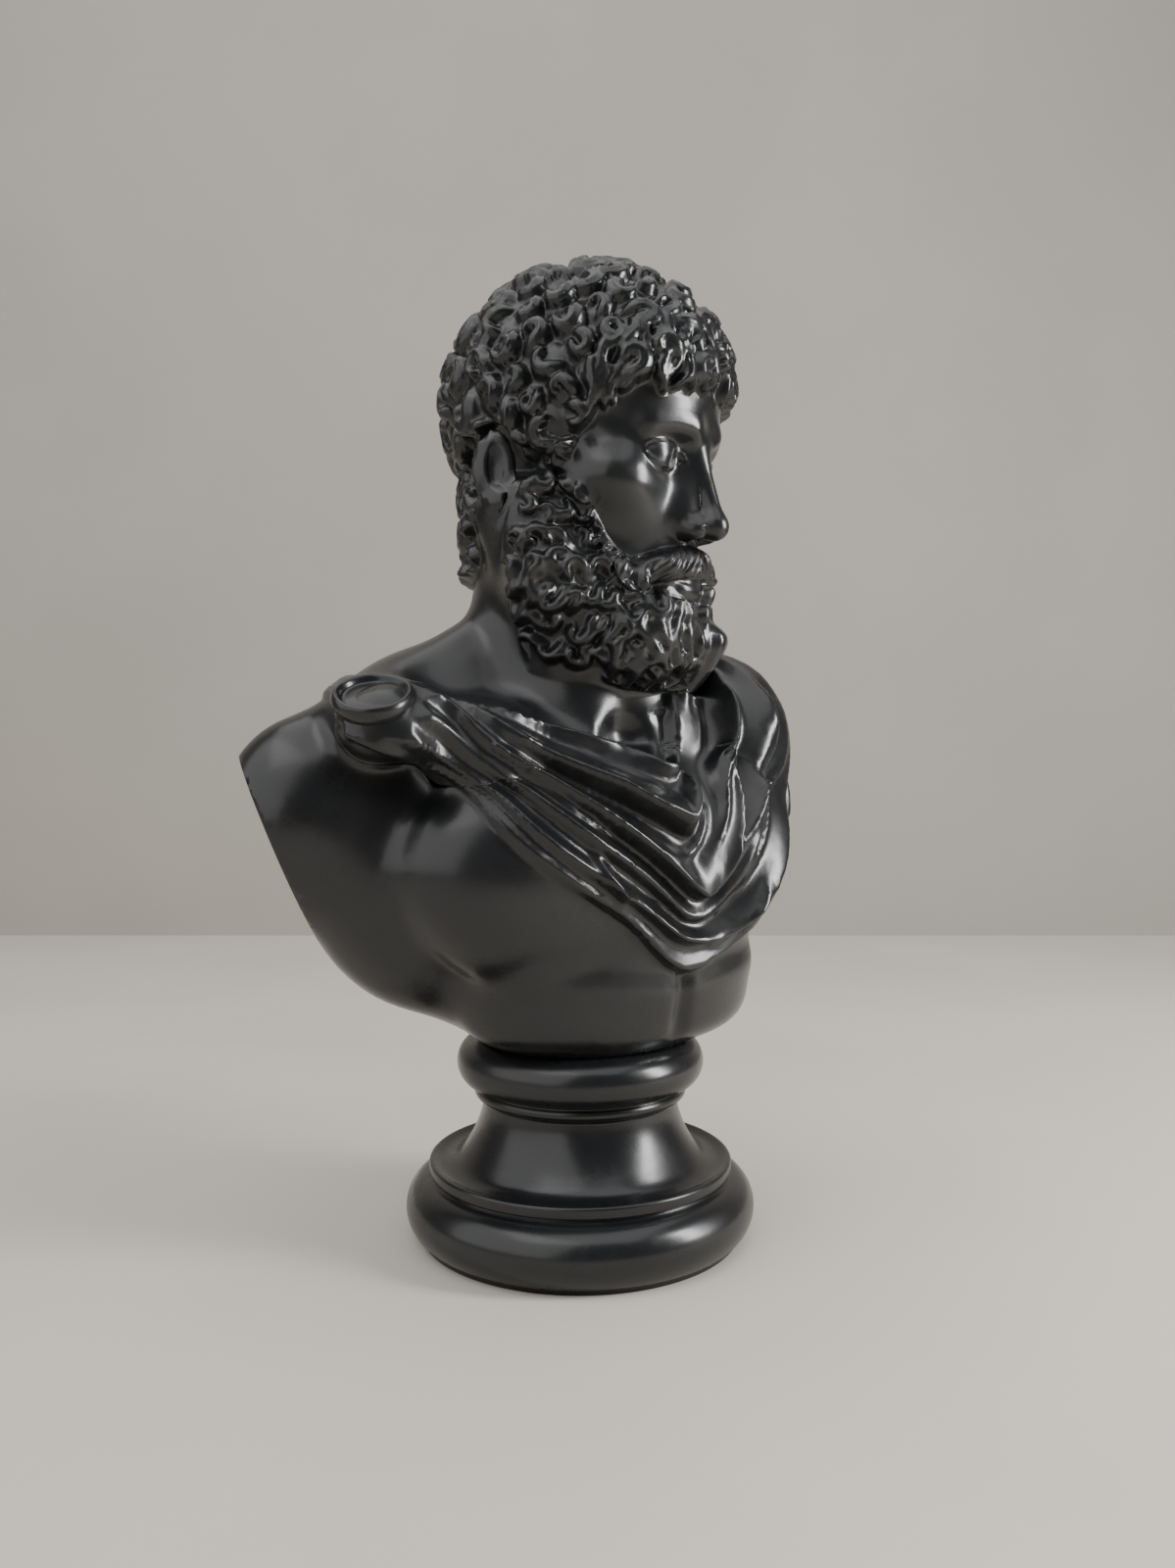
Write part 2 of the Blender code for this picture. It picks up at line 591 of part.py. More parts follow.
def beard_relief(points, normals, local, chance):
    share = beard_share(local)
    relief = np.full(len(points), 0.8)
    rows = ((-60.0, 9), (-53.0, 12), (-46.0, 15), (-39.0, 17), (-32.0, 18), (-25.0, 19), (-18.0, 20), (-11.0, 21))
    for height, count in rows:
        turns = np.linspace(-78.0, 78.0, count) + chance.uniform(-2.0, 2.0, count)
        if height > -36.0:
            turns = turns[np.abs(turns) > 24.0]
        if height > -20.0:
            turns = turns[np.abs(turns) > 44.0]
        anchors = nearest(local, turns, np.full(len(turns), height))
        hang_locks(points, normals, anchors, relief, chance, (20.0, 27.0), (5.0, 6.6), 1.0, 6.2, 0.45)
    return relief * share


def moustache_relief(local):
    """Strands combed outwards and down from below the nose."""
    x, z = np.abs(local[:, 0]), local[:, 2]
    along = (x - 1.0) / 18.0
    middle = -25.0 - 9.0 * np.clip(along, 0.0, 1.0) ** 1.5
    across = (z - middle) / 4.4
    inside = (along > 0.0) & (along < 1.15) & (np.abs(across) < 1.0) & (local[:, 1] < -22.0)
    strands = np.cos((x * 0.55 + (z + 25.0) * 1.5) * 2.1)
    body = np.sqrt(np.clip(1.0 - across**2, 0.0, 1.0)) * smooth_step(1.15 - along, 0.0, 0.3)
    return np.where(inside, body * (0.6 + 0.5 * strands), 0.0)


def carve(points, normals):
    """Moves the points of the smooth figure out to the cloak, the hair and the beard."""
    chance = np.random.default_rng(SEED)
    relief = np.zeros(len(points))
    body = points[:, 2] < 262.0
    relief[body] = cloak_relief(points[body])
    local = in_head(points)
    head = np.nonzero((np.abs(local) < 75.0).all(axis=1) & (points[:, 2] > 185.0))[0]
    own, out, near = points[head], normals[head], local[head]
    hair = hair_relief(own, near, chance)
    fringe = fringe_relief(own, out, near, chance)
    beard = beard_relief(own, out, near, chance)
    whiskers = moustache_relief(near)
    made = np.maximum.reduce([hair, fringe, beard, whiskers])
    relief[head] = np.maximum(relief[head], made)
    return points + normals * relief[:, None]


def keep_largest(shape):
    """Removes every loose piece except the one with the most points."""
    unseen, pieces = set(shape.verts), []
    while unseen:
        piece, edge = set(), [unseen.pop()]
        while edge:
            point = edge.pop()
            piece.add(point)
            for link in point.link_edges:
                other = link.other_vert(point)
                if other in unseen:
                    unseen.discard(other)
                    edge.append(other)
        pieces.append(piece)
    pieces.sort(key=len)
    loose = [point for piece in pieces[:-1] for point in piece]
    bmesh.ops.delete(shape, geom=loose, context="VERTS")


def cut_plane(mesh_data, point, facing):
    """Saws off what lies beyond a plane and closes the cut."""
    geometry = [*mesh_data.verts, *mesh_data.edges, *mesh_data.faces]
    cut = bmesh.ops.bisect_plane(
        mesh_data, geom=geometry, dist=1e-4, plane_co=point, plane_no=facing, clear_outer=True
    )
    rim = [e for e in cut["geom_cut"] if isinstance(e, bmesh.types.BMEdge)]
    bmesh.ops.holes_fill(mesh_data, edges=rim)


def thinned(mesh, faces):
    """The same skin with fewer faces."""
    body = bpy.data.objects.new("thick skin", mesh)
    bpy.context.scene.collection.objects.link(body)
    fewer = body.modifiers.new("fewer faces", "DECIMATE")
    fewer.ratio = min(1.0, faces / (2.0 * len(mesh.polygons)))
    skin = bpy.data.meshes.new_from_object(body.evaluated_get(bpy.context.evaluated_depsgraph_get()))
    bpy.data.objects.remove(body)
    return skin


def make_brooch(collection):
    """The round brooch: a dished disc with a raised rim and a boss, sunk into the shoulder."""
    radius = BROOCH_RADIUS * PART
    profile = [
        (0.0, 0.20),
        (0.25, 0.16),
        (0.45, 0.04),
        (0.62, 0.02),
        (0.72, 0.20),
        (0.80, 0.30),
        (0.92, 0.28),
        (1.0, 0.16),
        (1.0, 0.02),
        (1.10, -0.08),
        (1.14, -0.25),
        (1.05, -0.60),
        (0.0, -0.60),
    ]
    sketch = bmesh.new()
    points = [sketch.verts.new((radius * out, 0.0, radius * height)) for out, height in profile]
    for upper, lower in zip(points, points[1:]):
        sketch.edges.new((upper, lower))
    mesh = bpy.data.meshes.new("brooch")
    sketch.to_mesh(mesh)
    sketch.free()
    brooch = bpy.data.objects.new("brooch", mesh)
    collection.objects.link(brooch)
    turn = brooch.modifiers.new("round", "SCREW")
    turn.steps = turn.render_steps = 28
    turn.use_merge_vertices = True
    turn.merge_threshold = 0.00001
    place = Vector(BROOCH_CENTRE) * PART
    place.z += socle_heights()[-1] + SEAT_GAP
    brooch.location = place
    brooch.rotation_euler = Vector(BROOCH_FACING).to_track_quat("Z", "Y").to_euler()
    brooch.hide_render = True
    brooch.display_type = "WIRE"
    return brooch


def make_bust(collection, tools):
    clay = model_clay()
    skin = fused(clay.rough_mesh(1.3 * CLAY_GRAIN / PART), CLAY_GRAIN / PART)
    points = clay.settle(read_points(skin))
    slope = clay.slope(points, 1.5)
    normals = slope / np.linalg.norm(slope, axis=1)[:, None]
    write_points(skin, carve(points, normals))
    skin = thinned(skin, BUST_TRIANGLES)
    shape = bmesh.new()
    shape.from_mesh(skin)
    for side in (1.0, -1.0):
        point = Vector((side * ARM_CUT_POINT[0], *ARM_CUT_POINT[1:]))
        cut_plane(shape, point, Vector((side * ARM_CUT_FACING[0], *ARM_CUT_FACING[1:])))
    cut_plane(shape, Vector((0.0, 0.0, 0.0)), Vector((0.0, 0.0, -1.0)))
    keep_largest(shape)
    shape.to_mesh(skin)
    shape.free()
    skin.transform(Matrix.Scale(PART, 4))
    skin.shade_smooth()
    bust = link("bust", skin, collection, black_paint("bust_paint"))
    bust.location.z = socle_heights()[-1] + SEAT_GAP
    pin = bust.modifiers.new("brooch", "BOOLEAN")
    pin.operation = "UNION"
    pin.solver = "EXACT"
    pin.object = make_brooch(tools)
    return bust


def main():
    for old in list(bpy.data.objects):
        bpy.data.objects.remove(old)
    collection = bpy.data.collections.new("Roman emperor bust")
    bpy.context.scene.collection.children.link(collection)
    tools = bpy.data.collections.new("Shaping tools")
    bpy.context.scene.collection.children.link(tools)
    make_socle(collection)
    make_bust(collection, tools)


main()
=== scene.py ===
"""Portrait bust of a bearded Roman emperor in a military cloak, cast and lacquered black.

The bust, its brooch and its turned socle are modelled at a finer grain than the plain part
that they stand for, and a pale studio is set round them. Lengths are in metres, and those of
the figure's shape are in the parts that are explained below.
"""

import math

import bmesh
import bpy
import numpy as np
from bpy.props import FloatProperty, FloatVectorProperty, IntProperty, PointerProperty
from mathutils import Euler, Matrix, Vector


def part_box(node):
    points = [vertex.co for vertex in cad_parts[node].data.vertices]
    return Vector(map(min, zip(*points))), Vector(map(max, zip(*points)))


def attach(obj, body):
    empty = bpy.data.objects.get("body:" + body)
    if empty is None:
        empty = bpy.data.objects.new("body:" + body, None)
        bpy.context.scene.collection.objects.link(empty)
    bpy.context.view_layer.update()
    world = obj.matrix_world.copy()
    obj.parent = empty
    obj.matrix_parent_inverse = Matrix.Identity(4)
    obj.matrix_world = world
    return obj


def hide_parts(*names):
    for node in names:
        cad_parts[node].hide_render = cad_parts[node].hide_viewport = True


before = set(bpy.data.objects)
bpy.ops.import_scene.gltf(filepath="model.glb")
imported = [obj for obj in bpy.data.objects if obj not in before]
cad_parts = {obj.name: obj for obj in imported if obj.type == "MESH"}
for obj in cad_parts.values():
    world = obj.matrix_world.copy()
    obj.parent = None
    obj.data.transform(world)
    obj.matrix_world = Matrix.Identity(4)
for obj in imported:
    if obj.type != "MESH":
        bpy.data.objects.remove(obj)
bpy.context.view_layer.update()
BUST_FOOT = Vector((0.0, 0.0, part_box("bust")[0][2]))
SOCLE_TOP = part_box("socle")[1][2]

bl_info = {
    "name": "Roman emperor bust",
    "version": (1, 0, 0),
    "blender": (4, 5, 0),
    "location": "3D View > Sidebar > Bust",
    "description": "Models a black portrait bust on a turned socle, and a studio round it",
    "category": "Add Mesh",
}

# The figure's proportions are shares of its own height, which is 445 parts. The head's are
# hundredths of the head's height from chin to crown, which is 205 parts.
FIGURE_PARTS = 445.0
HEAD_PARTS = 205.0
HEAD_CENTRE = (4.5, 2.0, 330.0)
CLOAK_CENTRE = (0.0, 0.0, 130.0)
BROOCH_CENTRE = (-143.0, -41.0, 189.0)
BROOCH_FACING = (-0.25, -0.43, 0.87)
BROOCH_RADIUS = 20.0
ARM_CUT_POINT = (190.0, 28.0, 164.0)
ARM_CUT_FACING = (0.87, 0.33, -0.37)
# Heights in the figure's parts: the cloak is carved below the first, the head above the second, and
# the head's skin has finer faces above the third.
CLOAK_TOP = 262.0
HEAD_FOOT = 185.0
HEAD_REFINED = 200.0
# No point of the head is farther than this from the head's middle along any axis, in its hundredths.
HEAD_REACH = 75.0
# A lump is felt as far as this from its surface, so no blend may be wider.
LUMP_REACH = 38.0
# The cloth's own thickness where no fold stands out, and how far to the left the breastbone lies
CLOTH = 3.0
STERNUM = 22.0
SEED = 7


class BustSizes(bpy.types.PropertyGroup):
    """Sizes of the bust and of its socle."""

    figure_height: FloatProperty(
        name="Figure height",
        description="Height of the bust without its socle",
        default=0.445,
        unit="LENGTH",
    )
    head_turn: FloatProperty(
        name="Head turn",
        description="How far the head is turned to its left",
        default=math.radians(28.0),
        subtype="ANGLE",
    )
    head_nod: FloatProperty(
        name="Head nod",
        description="How far the head is bowed",
        default=math.radians(9.0),
        subtype="ANGLE",
    )
    body_grain: FloatProperty(
        name="Body grain",
        description="Width of a face on the bare chest and back",
        default=0.0024,
        unit="LENGTH",
    )
    most_faces: IntProperty(
        name="Most faces",
        description="Triangles that the finished bust may have",
        default=194000,
    )
    socle_radius: FloatProperty(
        name="Socle radius",
        description="Radius of the socle's base",
        default=0.100,
        unit="LENGTH",
    )


class BustFinish(bpy.types.PropertyGroup):
    """Colour and gloss of the lacquer."""

    lacquer: FloatVectorProperty(
        name="Lacquer",
        description="Colour of the black lacquer",
        subtype="COLOR",
        size=3,
        min=0.0,
        max=1.0,
        default=(0.0072, 0.0078, 0.0090),
    )
    dust: FloatVectorProperty(
        name="Dust",
        description="Colour of the dust that lies in the hollows",
        subtype="COLOR",
        size=3,
        min=0.0,
        max=1.0,
        default=(0.015, 0.0145, 0.014),
    )
    roughness: FloatProperty(
        name="Roughness",
        description="Roughness of the lacquer where it is smoothest",
        default=0.24,
        min=0.0,
        max=1.0,
    )


class StudioSettings(bpy.types.PropertyGroup):
    """Light and ground of the studio."""

    floor: FloatVectorProperty(
        name="Floor",
        description="Colour of the floor",
        subtype="COLOR",
        size=3,
        min=0.0,
        max=1.0,
        default=(0.64, 0.595, 0.53),
    )
    wall: FloatVectorProperty(
        name="Wall",
        description="Colour of the backdrop",
        subtype="COLOR",
        size=3,
        min=0.0,
        max=1.0,
        default=(0.40, 0.375, 0.335),
    )
    camera_turn: FloatProperty(
        name="Camera turn",
        description="Turn of the camera round the bust, from straight in front",
        default=math.radians(-32.0),
        subtype="ANGLE",
    )
    camera_distance: FloatProperty(
        name="Camera distance",
        description="Distance of the camera from the socle's axis",
        default=0.6945,
        unit="LENGTH",
    )
    camera_height: FloatProperty(
        name="Camera height",
        description="Height of the camera above the floor",
        default=0.276,
        unit="LENGTH",
    )
    key_power: FloatProperty(
        name="Key power",
        description="Power of the window light",
        default=23.0,
        unit="POWER",
    )
    fill_power: FloatProperty(
        name="Fill power",
        description="Power that the soft box and the ceiling light are shares of",
        default=16.0,
        unit="POWER",
    )


# Materials


class Wire:
    """One output of a material's nodes. Arithmetic on it adds Math nodes."""

    def __init__(self, tree, socket):
        self.tree, self.socket = tree, socket

    @staticmethod
    def node(tree, kind, settings, inputs, output=0):
        """Adds a node: its settings first, then the values or wires of its sockets."""
        node = tree.nodes.new(kind)
        for name, value in settings.items():
            setattr(node, name, value)
        for name, value in inputs.items():
            if isinstance(value, Wire):
                tree.links.new(value.socket, node.inputs[name])
            else:
                node.inputs[name].default_value = value
        return Wire(tree, node.outputs[output])

    def feed(self, socket):
        """Links this wire to a socket of another node."""
        self.tree.links.new(self.socket, socket)

    def math(self, operation, *operands):
        return Wire.node(self.tree, "ShaderNodeMath", {"operation": operation}, dict(enumerate(operands)))

    def __add__(self, other):
        return self.math("ADD", self, other)

    def __sub__(self, other):
        return self.math("SUBTRACT", self, other)

    def __rsub__(self, other):
        return self.math("SUBTRACT", other, self)

    def __mul__(self, other):
        return self.math("MULTIPLY", self, other)

    __radd__ = __add__
    __rmul__ = __mul__


def band(wire, low, high, out_low=0.0, out_high=1.0):
    """The wire's share of the way from low to high, smoothed."""
    settings = {"interpolation_type": "SMOOTHSTEP"}
    inputs = {"Value": wire, "From Min": low, "From Max": high, "To Min": out_low, "To Max": out_high}
    return Wire.node(wire.tree, "ShaderNodeMapRange", settings, inputs)


def noise(place, scale, detail, roughness=0.5):
    """Cloudy noise, in cells of a metre divided by the scale."""
    inputs = {"Vector": place, "Scale": scale, "Detail": detail, "Roughness": roughness}
    return Wire.node(place.tree, "ShaderNodeTexNoise", {}, inputs)


def mix_colours(share, first, second):
    """Goes from the first colour to the second by a share."""
    inputs = {0: share, 6: first, 7: second}
    return Wire.node(share.tree, "ShaderNodeMix", {"data_type": "RGBA"}, inputs, output=2)


def black_lacquer(name, finish, hollows):
    """Sprayed black lacquer: an even skin with faint orange peel, softer and dustier in the hollows."""
    paint = bpy.data.materials.new(name)
    paint.use_nodes = True
    tree = paint.node_tree
    shader = tree.nodes["Principled BSDF"]
    place = Wire.node(tree, "ShaderNodeTexCoord", {}, {}, output="Object")
    drift = noise(place, 14.0, 3.0)
    smear = noise(place, 75.0, 4.0, 0.6)
    peel = noise(place, 520.0, 2.0)
    swell = noise(place, 46.0, 2.0)
    specks = Wire.node(tree, "ShaderNodeTexVoronoi", {}, {"Vector": place, "Scale": 260.0})
    speck = band(specks, 0.10, 0.05) * band(drift, 0.50, 0.66)
    settled = band(smear, 0.44, 0.72) * 0.22 + speck * 0.55
    if hollows:
        deep = Wire.node(tree, "ShaderNodeAttribute", {"attribute_name": "hollow"}, {}, output="Fac")
        settled = settled + deep * band(smear, 0.30, 0.66) * 0.55
    mix_colours(settled, (*finish.lacquer, 1.0), (*finish.dust, 1.0)).feed(shader.inputs["Base Color"])
    rough = band(drift, 0.34, 0.66, finish.roughness, finish.roughness + 0.07) + settled * 0.16
    rough.feed(shader.inputs["Roughness"])
    height = peel * 0.10 + swell * 0.90
    bump = Wire.node(tree, "ShaderNodeBump", {}, {"Strength": 0.16, "Distance": 0.0012, "Height": height})
    bump.feed(shader.inputs["Normal"])
    shader.inputs["Specular IOR Level"].default_value = 0.5
    shader.inputs["Coat Weight"].default_value = 0.12
    shader.inputs["Coat Roughness"].default_value = 0.14
    return paint


def plain_ground(name, colour, roughness):
    """Matt ground of the studio, with a barely seen mottle."""
    ground = bpy.data.materials.new(name)
    ground.use_nodes = True
    tree = ground.node_tree
    shader = tree.nodes["Principled BSDF"]
    place = Wire.node(tree, "ShaderNodeTexCoord", {}, {}, output="Object")
    mottle = noise(place, 3.0, 4.0)
    darker = tuple(0.95 * value for value in colour)
    tint = mix_colours(band(mottle, 0.35, 0.65), (*colour, 1.0), (*darker, 1.0))
    tint.feed(shader.inputs["Base Color"])
    shader.inputs["Roughness"].default_value = roughness
    return ground


# Clay


def unit(vector):
    vector = np.asarray(vector, float)
    return vector / np.linalg.norm(vector)


def smooth_step(value, low, high):
    t = np.clip((value - low) / (high - low), 0.0, 1.0)
    return t * t * (3.0 - 2.0 * t)


def undo_place(points, place):
    """The points in a place's own axes."""
    inverse = np.array(place.inverted())
    return points @ inverse[:3, :3].T + inverse[:3, 3]


class Clay:
    """Lumps of clay pressed together. Its distance is below zero inside and above zero outside."""

    def __init__(self):
        self.lumps = []

    def ball(self, centre, radii, blend=0.0, turn=(0.0, 0.0, 0.0), carve=False, power=2.0):
        """An ellipsoid. turn is in degrees about X, Y and Z, and a power above 2 flattens its poles."""
        place = Matrix.Translation(centre) @ Euler([math.radians(a) for a in turn]).to_matrix().to_4x4()
        self.lumps.append(("ball", place, (*radii, power), blend, carve))

    def bar(self, start, end, start_radius, end_radius, blend=0.0, carve=False):
        """A rod with round ends, thicker at one end than at the other."""
        ends = (np.array(start, float), np.array(end, float))
        self.lumps.append(("bar", ends, (start_radius, end_radius), blend, carve))

    def pair(self, kind, *args, **settings):
        """The same lump on both sides of the body. Every point is given for the +X side."""
        for side in (1.0, -1.0):
            points = 2 if kind == "bar" else 1
            mirrored = [(side * a[0], *a[1:]) if i < points else a for i, a in enumerate(args)]
            turned = dict(settings)
            if "turn" in turned:
                x, y, z = turned["turn"]
                turned["turn"] = (x, side * y, side * z)
            getattr(self, kind)(*mirrored, **turned)

    def add(self, other, place, scale):
        """Presses another clay's lumps on, placed and scaled."""
        for kind, where, size, blend, carve in other.lumps:
            if kind == "ball":
                axes = place @ where
                moved = Matrix.LocRotScale(axes.translation, axes.to_quaternion(), None)
                sizes = (*(scale * radius for radius in size[:3]), size[3])
            else:
                moved = tuple(np.array(place @ Vector(end)) for end in where)
                sizes = tuple(scale * radius for radius in size)
            self.lumps.append((kind, moved, sizes, max(blend * scale, 0.8), carve))

    @staticmethod
    def lump_distance(lump, points):
        kind, place, size, _, _ = lump
        if kind == "bar":
            a, b = place
            along = np.clip((points - a) @ (b - a) / ((b - a) @ (b - a)), 0.0, 1.0)
            radius = size[0] + (size[1] - size[0]) * along
            return np.linalg.norm(points - a - along[:, None] * (b - a), axis=1) - radius
        local = undo_place(points, place)
        radii, power = np.array(size[:3]), size[3]
        if power == 2.0:
            scaled = np.linalg.norm(local / radii, axis=1)
            slope = np.linalg.norm(local / radii**2, axis=1)
            return scaled * (scaled - 1.0) / np.maximum(slope, 1e-9)
        flat = np.hypot(local[:, 0] / radii[0], local[:, 1] / radii[1])
        high = np.abs(local[:, 2]) / radii[2]
        scaled = np.maximum((flat**power + high**power) ** (1.0 / power), 1e-6)
        return np.linalg.norm(local, axis=1) * (1.0 - 1.0 / scaled) * 0.8

    @staticmethod
    def reach(lump):
        kind, place, size, _, _ = lump
        if kind == "ball":
            return np.array(place.translation), float(max(size[:3])) * (1.0 if size[3] == 2.0 else 1.3)
        return (place[0] + place[1]) / 2, float(np.linalg.norm(place[1] - place[0]) / 2 + max(size))

    def distance(self, points):
        found = np.full(len(points), LUMP_REACH)
        for lump in self.lumps:
            centre, reach = self.reach(lump)
            blend, carve = lump[3], lump[4]
            offset = points - centre
            near = np.nonzero(np.einsum("ij,ij->i", offset, offset) < (reach + LUMP_REACH) ** 2)[0]
            if not len(near):
                continue
            new = self.lump_distance(lump, points[near])
            old = found[near]
            soft = max(blend, 1e-6)
            if carve:
                join = np.maximum(soft - np.abs(old + new), 0.0) / soft
                found[near] = np.maximum(old, -new) + join**2 * soft / 4
            else:
                join = np.maximum(soft - np.abs(old - new), 0.0) / soft
                found[near] = np.minimum(old, new) - join**2 * soft / 4
        return found

    def slope(self, points, step=0.5):
        """Outward direction of the clay at each point, not of unit length."""
        corners = np.array([(1, -1, -1), (-1, -1, 1), (-1, 1, -1), (1, 1, 1)], float)
        return sum(c * self.distance(points + step * c)[:, None] for c in corners) / (4 * step)

    def settle(self, points, rounds):
        """Moves points onto the clay's surface."""
        points = points.copy()
        for _ in range(rounds):
            slope = self.slope(points)
            steepness = np.maximum((slope**2).sum(axis=1), 0.15)
            move = np.clip(self.distance(points) / steepness, -8.0, 8.0)
            points -= move[:, None] * slope
        return points

    def rough_shape(self, least):
        """A bmesh of plain balls and cones in place of the thicker lumps, for the voxel remesh to fuse."""
        rough = bmesh.new()
        for kind, place, size, _, carve in self.lumps:
            if carve or min(size[:3]) < least:
                continue
            if kind == "ball":
                matrix = place @ Matrix.Diagonal((*size[:3], 1.0))
                bmesh.ops.create_icosphere(rough, subdivisions=3, radius=1.0, matrix=matrix)
                continue
            for end, radius in zip(place, size):
                matrix = Matrix.Translation(end)
                bmesh.ops.create_icosphere(rough, subdivisions=2, radius=radius, matrix=matrix)
            along = Vector(place[1] - place[0])
            turn = along.to_track_quat("Z", "Y").to_matrix().to_4x4()
            matrix = Matrix.Translation((place[0] + place[1]) / 2) @ turn
            bmesh.ops.create_cone(
                rough,
                cap_ends=True,
                segments=16,
                radius1=size[0],
                radius2=size[1],
                depth=along.length,
                matrix=matrix,
            )
        return rough


def press_torso(clay):
    clay.ball((-6, 19, 108), (145, 60, 110))
    clay.ball((0, 26, 120), (118, 58, 108), 16)
    clay.ball((9, -17, 40), (92, 52, 42), 14, power=4.0)
    clay.ball((-62, -34, 98), (62, 40, 54), 12, turn=(0, 10, -6))
    clay.ball((50, -30, 98), (54, 38, 54), 12, turn=(0, -10, 6))
    clay.ball((-112, 20, 92), (44, 44, 66), 18, turn=(0, -22, 0))
    clay.ball((88, 24, 92), (44, 44, 66), 18, turn=(0, 22, 0))
    clay.ball((-146, 26, 128), (52, 40, 56), 14)
    clay.ball((118, 34, 128), (48, 38, 54), 14)
    clay.bar((-24, 24, 232), (-122, 22, 172), 24, 26, 18)
    clay.bar((24, 24, 236), (100, 24, 172), 26, 24, 26)
    clay.bar((-12, -30, 166), (-118, -14, 184), 9, 9, 18)
    clay.bar((12, -30, 166), (92, -14, 178), 9, 9, 18)
    clay.bar((0, 14, 170), (0, 8, 262), 56, 50, 18)
    clay.bar((0, 0, 8), (0, 0, -20), 55, 55, 12)


def press_draped_side(clay):
    """The cloak's swell over the left breast, its cloth on the left shoulder and its strap to the brooch."""
    clay.ball((8, -26, 108), (82, 50, 62), 26)
    clay.ball((72, 10, 142), (54, 48, 60), 30)
    clay.bar((82, -28, 170), (104, 18, 182), 16, 16, 34)
    clay.bar((104, 18, 182), (90, 62, 170), 16, 20, 34)
    gathered = np.array(BROOCH_CENTRE) - 16.0 * unit(BROOCH_FACING)
    clay.ball(tuple(gathered), (20, 18, 15), 24)
    clay.bar((-128, -34, 178), (-80, -34, 162), 10, 12, 24)
    clay.bar((-80, -34, 162), (-44, -38, 148), 12, 10, 30)
    clay.bar((34, -32, 176), (84, -10, 186), 14, 16, 24)
    clay.bar((-128, -2, 182), (-84, 50, 199), 16, 19, 20)


def press_neck(clay, head):
    clay.bar((0, 10, 240), tuple(head @ Vector((0, 6, -12))), 54, 52, 12)
    for side in (1.0, -1.0):
        mastoid = head @ Vector((side * 26, 8, -20))
        clay.bar(tuple(mastoid), (side * 11, -33, 174), 15, 9, 14)
    clay.ball((0, -52, 172), (12, 12, 10), 14, carve=True)


def press_skull(clay):
    clay.ball((0, 3, 14), (32, 38, 34.5))
    clay.ball((0, -9, 17), (27, 26, 27), 6)
    clay.ball((0, -12, -14), (23, 23, 31), 8)
    clay.pair("bar", (24, -2, -20), (8, -27, -43), 8, 8, 8)
    clay.ball((0, -30, -44), (8, 7, 6), 5)
    clay.pair("ball", (18.5, -20, -7.5), (10, 10, 8), 9)


def press_face(clay):
    clay.pair("bar", (6, -34.2, 8.2), (17, -28.4, 7.7), 2.8, 2.4, 6)
    clay.pair("ball", (12.2, -37.0, 0.4), (7.6, 6.0, 4.8), 5, carve=True)
    clay.pair("ball", (12.0, -26.4, 0.2), (6.7, 6.7, 5.8), 1.6)
    clay.bar((0, -33.4, 6.0), (0, -42.6, -14.5), 2.3, 2.6, 5.5)
    clay.pair("bar", (2.2, -30.5, 1.0), (3.4, -34.6, -14.5), 2.4, 3.6, 5)
    clay.ball((0, -42.6, -16.2), (2.9, 3.2, 2.7), 4.5)
    clay.pair("ball", (4.5, -38.0, -17.2), (2.3, 3.7, 2.6), 2.4)
    clay.pair("ball", (2.4, -40.8, -20.2), (1.3, 2.4, 1.2), 0.9, carve=True)
    clay.ball((0, -34.0, -29.5), (10.5, 5.4, 8.0), 5)
    clay.ball((0, -37.6, -28.4), (6.8, 2.2, 1.7), 1.4)
    clay.ball((0, -37.8, -32.8), (6.0, 2.5, 2.0), 1.4)


def press_ears(clay):
    for side in (1.0, -1.0):
        clay.ball((side * 32.8, 7.0, -9.0), (1.7, 6.0, 10.4), 2.0, turn=(-8, 0, side * -22))
        clay.ball((side * 35.4, 5.6, -9.0), (3.0, 3.6, 6.4), 0.8, turn=(-8, 0, 0), carve=True)
        rim = []
        for t in np.linspace(0.0, 1.0, 14):
            angle = math.radians(-170.0 + 285.0 * t)
            y, z = 7.0 + 5.8 * math.cos(angle), -8.2 - 9.7 * math.sin(angle)
            rim.append((side * (33.8 + 0.40 * (y - 6.0)), y - 0.12 * (z + 8.0), z))
        for start, end in zip(rim, rim[1:]):
            clay.bar(start, end, 1.25, 1.25, 0.6)
        fold = [(34.4, 8.4, -2.6), (35.0, 9.2, -7.0), (34.6, 8.6, -11.0), (33.8, 6.4, -14.6)]
        for start, end in zip(fold, fold[1:]):
            clay.bar((side * start[0], *start[1:]), (side * end[0], *end[1:]), 0.85, 0.85, 0.8)
        clay.ball((side * 33.4, 4.4, -17.0), (1.8, 2.8, 3.3), 1.5)
        clay.ball((side * 33.2, 1.8, -10.8), (1.3, 1.2, 2.0), 1.0)


def press_beard(clay):
    clay.pair("bar", (27.5, -3.0, -16), (25.5, -8, -34), 5.0, 8.0, 6)
    clay.pair("bar", (25.0, -9, -36), (10.0, -26, -47.5), 8.0, 10.5, 8)
    clay.ball((0, -27, -46), (13, 12.5, 12.5), 9)
    clay.pair("bar", (2.5, -38.4, -25.0), (10.5, -35.0, -27.0), 1.7, 2.1, 2.5)
    clay.pair("bar", (10.5, -35.0, -27.0), (17.5, -29.5, -32.0), 2.1, 2.0, 4)


def head_place(sizes):
    """Places the head's own axes: it faces its own -Y, and its origin is between the eyes and the back."""
    turn = Matrix.Rotation(sizes.head_turn, 4, "Z") @ Matrix.Rotation(sizes.head_nod, 4, "X")
    return Matrix.Translation(HEAD_CENTRE) @ turn @ Matrix.Scale(HEAD_PARTS / 100.0, 4)


